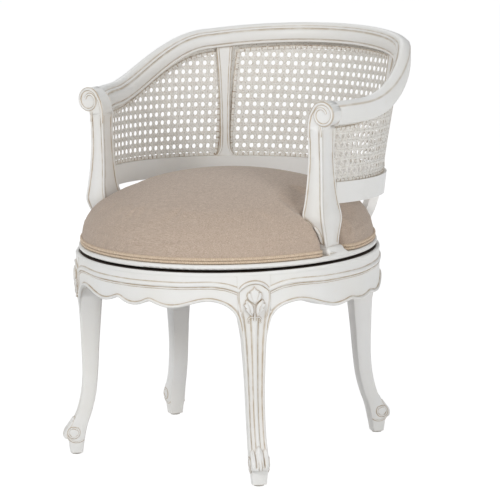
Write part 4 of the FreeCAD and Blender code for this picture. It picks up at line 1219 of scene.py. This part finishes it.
# Leaves at the foot of the post: outline, centre and vein, in mm
POST_LEAVES = (
    (((217.5, 445), (222.5, 442), (227.5, 434), (231, 425), (233.6, 414), (235.4, 405), (229.4, 409), (223.4, 417),
      (219.0, 427), (216.6, 437)), (226, 425), ((219.6, 441), (223, 432), (227.4, 421), (232.4, 410))),
    (((231.6, 436), (236.2, 431), (239.4, 421), (240.6, 411), (240.2, 404), (236.8, 410), (234.0, 420),
      (231.8, 428)), (236.2, 420), ((233.2, 432), (236.4, 424), (238.6, 414), (239.6, 407))),
)


def make_post_pad():
    """Pad between the post and the seat ring, which fills the cushion's notch."""
    foot = RING_TOP - 0.6
    sections = []
    for y, drop in PAD_STEPS:
        rim = math.sqrt(PAD_REACH ** 2 - y ** 2)
        level = PLINTH_TOP - drop
        shape = ((216.2, foot), (216.2, level - 1.5), (217.4, level), (250.6, level), (253.0, level - 0.9),
                 (255.4, level - 3.4), (257.6, level - 6.4), (rim - 4.6, RING_TOP + 3.0), (rim - 1.6, RING_TOP + 0.9),
                 (rim, foot))
        sections.append([Vector((x, y, max(z, foot))) * MM for x, z in shape])
    return extrude_run("post_plinth", sections, 60)


def carve_volute(carving):
    """Spiral on the volute's face with the lines that rise to it, and the bead round its rim."""
    toward = Vector((0, -1, 0))
    spiral = [(219.9, 590, 0.75), (219.9, 603, 1.0), (221.0, 616, 1.0), (224.2, 629, 1.0)]
    for step in range(SPIRAL_STEPS):
        turn = math.radians(152 - step * 9.4)
        radius = SPIRAL_RADIUS - 13.6 * ease(step, 16, 62)
        scale = 1.15 - 0.35 * step / SPIRAL_STEPS
        spiral.append((VOLUTE_X + radius * math.cos(turn), VOLUTE_Z + radius * math.sin(turn), scale))
    carving.mould([(Vector((x, VOLUTE_FACE, z)) * MM, toward, scale) for x, z, scale in spiral], bead(2.1, 2.3, 1.1))
    rise = curve_through([(243.8, 592), (243.6, 603), (242.0, 610)])
    carving.draw(lambda x, z: (Vector((x, VOLUTE_FACE, z)) * MM, toward), rise, bead(1.6, 1.3),
                 lambda share: 1.0 - 0.3 * share)
    wall = []
    for step in range(31):
        turn = math.radians(95 - step * 6.2)
        outward = Vector((math.cos(turn), 0, math.sin(turn)))
        place = Vector((VOLUTE_X, VOLUTE_FACE + 4.2, VOLUTE_Z)) * MM + outward * (VOLUTE_RADIUS * MM)
        wall.append((place, outward, 1.0))
    carving.mould(wall, bead(1.3, 0.9, 0.9))


def make_posts():
    """Carved arm posts: beaded shaft, pad, leaves at the foot and scrolled volute."""
    sections, stains = zip(*map(post_section, POST_HEIGHTS))
    shaft = extrude_run("post_shaft", sections, 40, stains)
    head = linked("post_head", nodes["arm_post_left"].data.copy())
    head.data.materials.clear()
    outward_normals(head)
    cut_off(head, (0, 0, 603.4 * MM), (0, 0, -1))
    pad = make_post_pad()
    bpy.context.view_layer.update()
    carving = Carving()
    carve_volute(carving)

    def on_front(x, z):
        return onto(shaft, Vector((x, -200, z)) * MM, Vector((0, 1, 0)))

    for leaf, centre, vein in POST_LEAVES:
        carving.pillow(leaf, centre, on_front, POST_LEAF_LIFT)
        carving.draw(on_front, curve_through(vein), bead(0.8, 3.3))
        carving.draw(on_front, curve_through(leaf + leaf[:1], 3), bead(0.6, 1.1, 1.4))
    left = join([carving.piece("post_carving"), pad, head, shaft], "arm_post_carved_left")
    dress_pair(left, "arm_post_carved_{}", "painted_wood", "arm_post_{}")


def stile_middle(height):
    """Centre of the left stile and the angle of its face, above the lower rail."""
    high = rail_level(RAIL_CENTRE + RAIL_INNER * math.cos(math.radians(STILE_RAIL_ANGLE)))
    low = high - 35
    rail = back_place(RAIL_INNER + 8.5, STILE_RAIL_ANGLE, 0, RAIL_CENTRE)
    crest = back_place(CREST_INNER + 12.5, STILE_CREST_ANGLE, 0, CREST_CENTRE)
    share = (height - low) / (crest_bottom(STILE_CREST_ANGLE) - low)
    return rail * (1 - share) + crest * share, STILE_RAIL_ANGLE + (STILE_CREST_ANGLE - STILE_RAIL_ANGLE) * share


STILE_LOW = 492.0
STILE_STEPS = 35
STILE_BEAD_INSET = 2.5


def make_stile_carving():
    """Bead with its glazed line along both edges of the stile, on its inner and outer faces."""
    low = STILE_LOW
    top = crest_bottom(STILE_CREST_ANGLE)
    widths = ((low, 41.5), (low + 4.8, 28.3), (low + 15.6, 19.3), (low + 48, 17.5), ((low + top) / 2, 19.5),
              (top - 48, 23.5), (top + 12, 33))
    stile = nodes["back_stile_left"]
    carving = Carving()
    for face in (-1, 1):
        for side in (-1, 1):
            line = []
            for height in evenly(low + 3, top - 1, STILE_STEPS):
                middle, angle = stile_middle(height)
                outward = back_place(1 / MM, angle, 0, 0)
                along = back_place(1 / MM, angle + 90, 0, 0)
                half = ramp_between(height, widths) / 2 - STILE_BEAD_INSET
                start = middle + outward * (face * 0.05) + along * side * half * MM + UP * height * MM
                spot = onto(stile, start, outward * -face)
                if spot:
                    line.append((spot[0], outward * face, 1.0))
            carving.mould(line, bead(1.7, 1.3, 1.1))
    dress_pair(carving.piece("stile_carving_left"), "stile_carving_{}", "painted_wood")


# Cushion and braid
STILE_AZIMUTH = 55.7
STILE_FOOT_DEPTH = 244.4
STILE_FOOT_HALF = 18.4
PLAN_STEP = 4.0
CUSHION_EDGE = 12.5
PUFF_PRESSURE = 4.0
PUFF_LIMIT = 0.005
PUFF_FRAMES = 20
VOXEL = 0.005
# The puffed cover is held below this height over the seat ring, in mm
HELD_BELOW = 9
# Plait of the braid: half sizes, lean in degrees, level and spacing of its two rows, how far out; and its tape
PLAIT_SIZE = (3.1, 1.7, 2.5)
PLAIT_LEAN = 34
PLAIT_LEVEL = 3.3
PLAIT_ROW = 5.3
PLAIT_OUT = 1.1
TAPE_LEVEL = 5.9
TAPE_SECTION = ((-5.7, 0.0, 0), (-5.2, 0.8, 0), (5.2, 0.8, 0), (5.7, 0.0, 0), (5.0, -0.6, 0), (-5.0, -0.6, 0))
# Left post's notch in the cushion, in plan
POST_NOTCH = (
    (245.2, -98.0), (248.0, -90.0), (248.2, -83.6), (244.6, -78.0), (237.6, -74.4), (227.6, -71.6), (217.6, -69.4),
    (215.6, -64), (215.4, -45), (215.4, -26), (217.2, -19.2), (224, -17.2), (240, -16.8), (249.5, -15.2), (257.0, -9.6),
    (260.9, -2.0),
)
STILE_NOTCH = ((262.0, -26.0), (259.2, -21.9), (254.0, -20.2), (248.0, -19.3), (243.5, -18.6))
RING_SHARES = (1.0, 0.996, 0.988, 0.975, 0.957, 0.935, 0.91, 0.88, 0.85, 0.81, 0.77, 0.72, 0.66, 0.6, 0.52, 0.44,
               0.35, 0.25, 0.15, 0.06)


def stile_notch():
    """Notch of the cushion round the left stile's foot, as plan points in mm."""
    turn = math.radians(STILE_AZIMUTH)
    ahead = Vector((math.cos(turn), math.sin(turn)))
    beside = Vector((-ahead.y, ahead.x))
    corners = [*STILE_NOTCH, *[(run, -across) for run, across in reversed(STILE_NOTCH)]]
    return [tuple(ahead * run + beside * across) for run, across in corners]


def cushion_plan():
    """Outline of the cushion, notched round the posts and the stiles, as evenly spaced points in mm."""
    def arc(start, end):
        turns = map(math.radians, evenly(start, end, max(2, int((end - start) / 2))))
        return [(CUSHION_RADIUS * math.cos(turn), CUSHION_RADIUS * math.sin(turn)) for turn in turns]

    half = arc(-90, -23.6) + curve_through(POST_NOTCH, 4) + arc(2.5, 49.5) + stile_notch() + arc(61.9, 90)
    half += [(-x, y) for x, y in reversed(half[:-1])][:-1]
    plan = [Vector(half[0])]
    for point in half[1:] + half[:1]:
        step = Vector(point) - plan[-1]
        while step.length > PLAN_STEP:
            plan.append(plan[-1] + step.normalized() * PLAN_STEP)
            step = Vector(point) - plan[-1]
    return plan


def plan_edge():
    """Each point of the cushion's outline with the next one, the run past it and the way outwards."""
    plan = cushion_plan()
    for before, point, after in zip(plan[-1:] + plan[:-1], plan, plan[1:] + plan[:1]):
        run = after - before
        yield point, after, run, Vector((run.y, -run.x, 0)).normalized()


def clear_of_woodwork(place):
    """A cushion point moved just clear of the posts and the stiles' feet."""
    x, y, z = place / MM
    side = 1 if x > 0 else -1
    across = x * side
    gap = 1.2
    if z < 470:
        inner = smooth_between(max(z, 385), POST_INNER) - gap
        front = -smooth_between(max(z, 385), POST_FRONT) - gap
        back = -smooth_between(max(z, 385), POST_BACK) + gap
        if z < PLINTH_TOP + 2:
            inner, front, back = min(inner, 215.6), min(front, -69.8), max(back, -19.8)
        if across > inner and front < y < back:
            _, across, y = min((across - inner, inner, y), (y - front, across, front), (back - y, across, back))
    turn = math.radians(STILE_AZIMUTH)
    run = across * math.cos(turn) + y * math.sin(turn)
    aside = -across * math.sin(turn) + y * math.cos(turn)
    if z < 470 and run > STILE_FOOT_DEPTH and abs(aside) < STILE_FOOT_HALF:
        if run - STILE_FOOT_DEPTH < STILE_FOOT_HALF - abs(aside):
            run = STILE_FOOT_DEPTH
        else:
            aside = math.copysign(STILE_FOOT_HALF, aside)
        across = run * math.cos(turn) - aside * math.sin(turn)
        y = run * math.sin(turn) + aside * math.cos(turn)
    return Vector((across * side, y, z)) * MM


def cushion_form():
    """The cushion before it is puffed out: its plan drawn in towards the crown, closed below."""
    plan = cushion_plan()
    walls = [point for point in plan if point.length < CUSHION_RADIUS - 2.5]
    base = RING_TOP + SOFT_ROOM
    table = []
    for step in range(0, 53):
        spot = onto(nodes["seat_cover"], polar(min(step * 5.0, 261.5), 0, 700), -UP)
        table.append((step * 5.0, spot[0].z / MM - base))
    rings = []
    for share, height in ((0.3, 393.5), (0.81, 393.5), (0.822, base), (0.93, base), (0.996, base), (1.0, base + 4)):
        rings.append([Vector((*(point * share), height)) * MM for point in plan])
    for share in RING_SHARES:
        ring = []
        for point in plan:
            spot = point * share
            rise = max(CUSHION_EDGE, smooth_between(spot.length, table))
            near = min(1.0, min((spot - wall).length for wall in walls) / 17.0)
            pulled = math.sqrt(max(0.0, 1 - (1 - near) ** 2))
            ring.append(Vector((*spot, base + CUSHION_EDGE + (rise - CUSHION_EDGE) * pulled)) * MM)
        rings.append(ring)
    form = Carving()
    form.loft(rings, [0.0] * len(plan))
    return form.piece("cushion_form")


def make_cushion():
    """Domed cushion puffed out by a cloth simulation from a slightly smaller form."""
    copy = cushion_form()
    pick(copy)
    copy.data.remesh_voxel_size = VOXEL
    bpy.ops.object.voxel_remesh()
    start = [vertex.co.copy() for vertex in copy.data.vertices]
    held = copy.vertex_groups.new(name="held")
    for vertex in copy.data.vertices:
        if vertex.co.z < (RING_TOP + HELD_BELOW) * MM:
            held.add([vertex.index], 1.0, "REPLACE")
    cloth = copy.modifiers.new("puff", "CLOTH")
    cloth.settings.use_pressure = True
    cloth.settings.uniform_pressure_force = PUFF_PRESSURE
    cloth.settings.effector_weights.gravity = 0.0
    cloth.settings.vertex_group_mass = "held"
    cloth.settings.quality = 5
    for number in range(1, PUFF_FRAMES + 1):
        bpy.context.scene.frame_set(number)
    apply_all(copy)
    bpy.context.scene.frame_set(1)
    for vertex, place in zip(copy.data.vertices, start):
        move = vertex.co - place
        if move.length > PUFF_LIMIT:
            vertex.co = place + move.normalized() * PUFF_LIMIT
    for vertex in copy.data.vertices:
        vertex.co = clear_of_woodwork(vertex.co)
        vertex.co.z = max(vertex.co.z, (RING_TOP + SOFT_ROOM) * MM)
    finer = copy.modifiers.new("finer", "SUBSURF")
    finer.levels = 1
    finer.render_levels = 1
    apply_all(copy)
    smooth(copy, 60)
    dress(copy, "cushion", "seat", "linen", ["seat_cover", "seat_foam"])


def make_braid():
    """Two rows of plaits on a tape, one plait modelled and copied along the cushion's edge."""
    deselect()
    bpy.ops.mesh.primitive_uv_sphere_add(segments=8, ring_count=5, radius=1.0)
    plait = bpy.context.object
    plait.scale = Vector(PLAIT_SIZE) * MM
    bpy.ops.object.transform_apply(location=True, rotation=True, scale=True)
    faces = [tuple(polygon.vertices) for polygon in plait.data.polygons]
    verts = []
    polygons = []
    for row, lean in ((0, 1), (1, -1)):
        turn = Matrix.Rotation(math.radians(PLAIT_LEAN * lean), 4, "Y")
        shape = [turn @ vertex.co for vertex in plait.data.vertices]
        for point, after, run, outward in plan_edge():
            middle = (point + after) / 2 if row else point
            centre = (Vector((*middle, RING_TOP + PLAIT_LEVEL + row * PLAIT_ROW)) + outward * PLAIT_OUT) * MM
            spin = Matrix.Rotation(math.atan2(run.y, run.x), 4, "Z")
            offset = len(verts)
            verts.extend(centre + spin @ corner for corner in shape)
            polygons.extend(tuple(number + offset for number in face) for face in faces)
    bpy.data.objects.remove(plait)
    data = bpy.data.meshes.new("gimp_plaits")
    data.from_pydata(verts, [], polygons)
    plaits = linked("gimp_plaits", data)
    smooth(plaits, 80)
    tape = Carving()
    line = [(Vector((*point, RING_TOP + TAPE_LEVEL)) * MM, outward, 1.0) for point, _, _, outward in plan_edge()]
    tape.mould(line, TAPE_SECTION, loop=True)
    piece = join([tape.piece("gimp_tape", 40), plaits], "gimp_braided")
    dress(piece, "gimp_braided", "seat", "gimp", ["seat_gimp"])


# Studio
FLOOR_GLOW = 1.15
FLOOR_SHARE = 0.82
WORLD_LEVEL = 0.42
# Soft lamps: name, place, aim, size in metres, power in watts
LAMPS = (
    ("key", (-0.9, -5.8, 4.2), (0, 0, 0.5), 1.3, 172),
    ("fill", (3.3, -1.2, 1.5), (0, 0, 0.45), 1.5, 38),
    ("back", (-2.0, 2.2, 2.6), (0, 0, 0.5), 1.8, 18),
)
CAMERA_PLACE = (2.772, -4.1625, 1.2614)
CAMERA_HEADING = (-0.549, 0.836, 0)
CAMERA_PITCH = 10.2
CAMERA_ROLL = -1.124
CAMERA_LENS = {"lens": 203.04, "sensor_width": 36, "shift_x": 0.0079, "shift_y": 0.001, "clip_end": 100}


def make_studio():
    """White floor and background, soft lamps, and the photograph's camera."""
    deselect()
    bpy.ops.mesh.primitive_plane_add(size=60)
    floor = bpy.context.object
    floor.name = "studio_floor"
    finish = Finish("studio_white")
    finish.feed(finish.shader.inputs["Base Color"], finish.blend(
        finish.noise(0.8), (0.90, 0.90, 0.90), (0.92, 0.92, 0.92)))
    finish.feed(finish.shader.inputs["Roughness"], 0.9)
    seen = finish.node("ShaderNodeLightPath").outputs
    rays = finish.sum("MAXIMUM", seen["Is Camera Ray"], seen["Is Glossy Ray"])
    rays = finish.sum("MAXIMUM", rays, seen["Is Transmission Ray"])
    glow = finish.node("ShaderNodeEmission", {"Strength": FLOOR_GLOW})
    finish.show("Material Output", finish.sum("MULTIPLY", rays, FLOOR_SHARE), finish.shader, glow)
    floor.data.materials.append(finish.material)
    world = bpy.data.worlds.new("studio")
    bpy.context.scene.world = world
    world.use_nodes = True
    sky = Nodes(world.node_tree)
    plain = world.node_tree.nodes["Background"]
    sky.feed(plain.inputs["Color"], (0.94, 0.97, 1.0, 1.0))
    sky.feed(plain.inputs["Strength"], WORLD_LEVEL)
    white = sky.node("ShaderNodeBackground", {"Color": (1, 1, 1, 1)})
    seen = sky.node("ShaderNodeLightPath").outputs
    sky.show("World Output", sky.sum("MAXIMUM", seen["Is Camera Ray"], seen["Is Transmission Ray"]), plain, white)
    for name, place, aim, size, power in LAMPS:
        light = bpy.data.lights.new(name, "AREA")
        light.size = size
        light.energy = power
        turn = (Vector(aim) - Vector(place)).to_track_quat("-Z", "Y").to_matrix().to_4x4()
        linked(name, light).matrix_world = Matrix.Translation(place) @ turn
    camera = bpy.data.cameras.new("camera")
    for name, value in CAMERA_LENS.items():
        setattr(camera, name, value)
    pitch = math.radians(CAMERA_PITCH)
    ahead = Vector(CAMERA_HEADING).normalized() * math.cos(pitch) - UP * math.sin(pitch)
    turn = ahead.to_track_quat("-Z", "Y").to_matrix().to_4x4()
    roll = Matrix.Rotation(math.radians(CAMERA_ROLL), 4, "Z")
    viewer = linked("camera", camera)
    viewer.matrix_world = Matrix.Translation(CAMERA_PLACE) @ turn @ roll
    bpy.context.scene.camera = viewer


make_studio()
refinish_nodes()
make_crest()
make_cane()
make_legs()
make_lip()
make_apron_carving()
make_posts()
make_stile_carving()
make_cushion()
make_braid()

bpy.context.scene.view_settings.view_transform = "Standard"
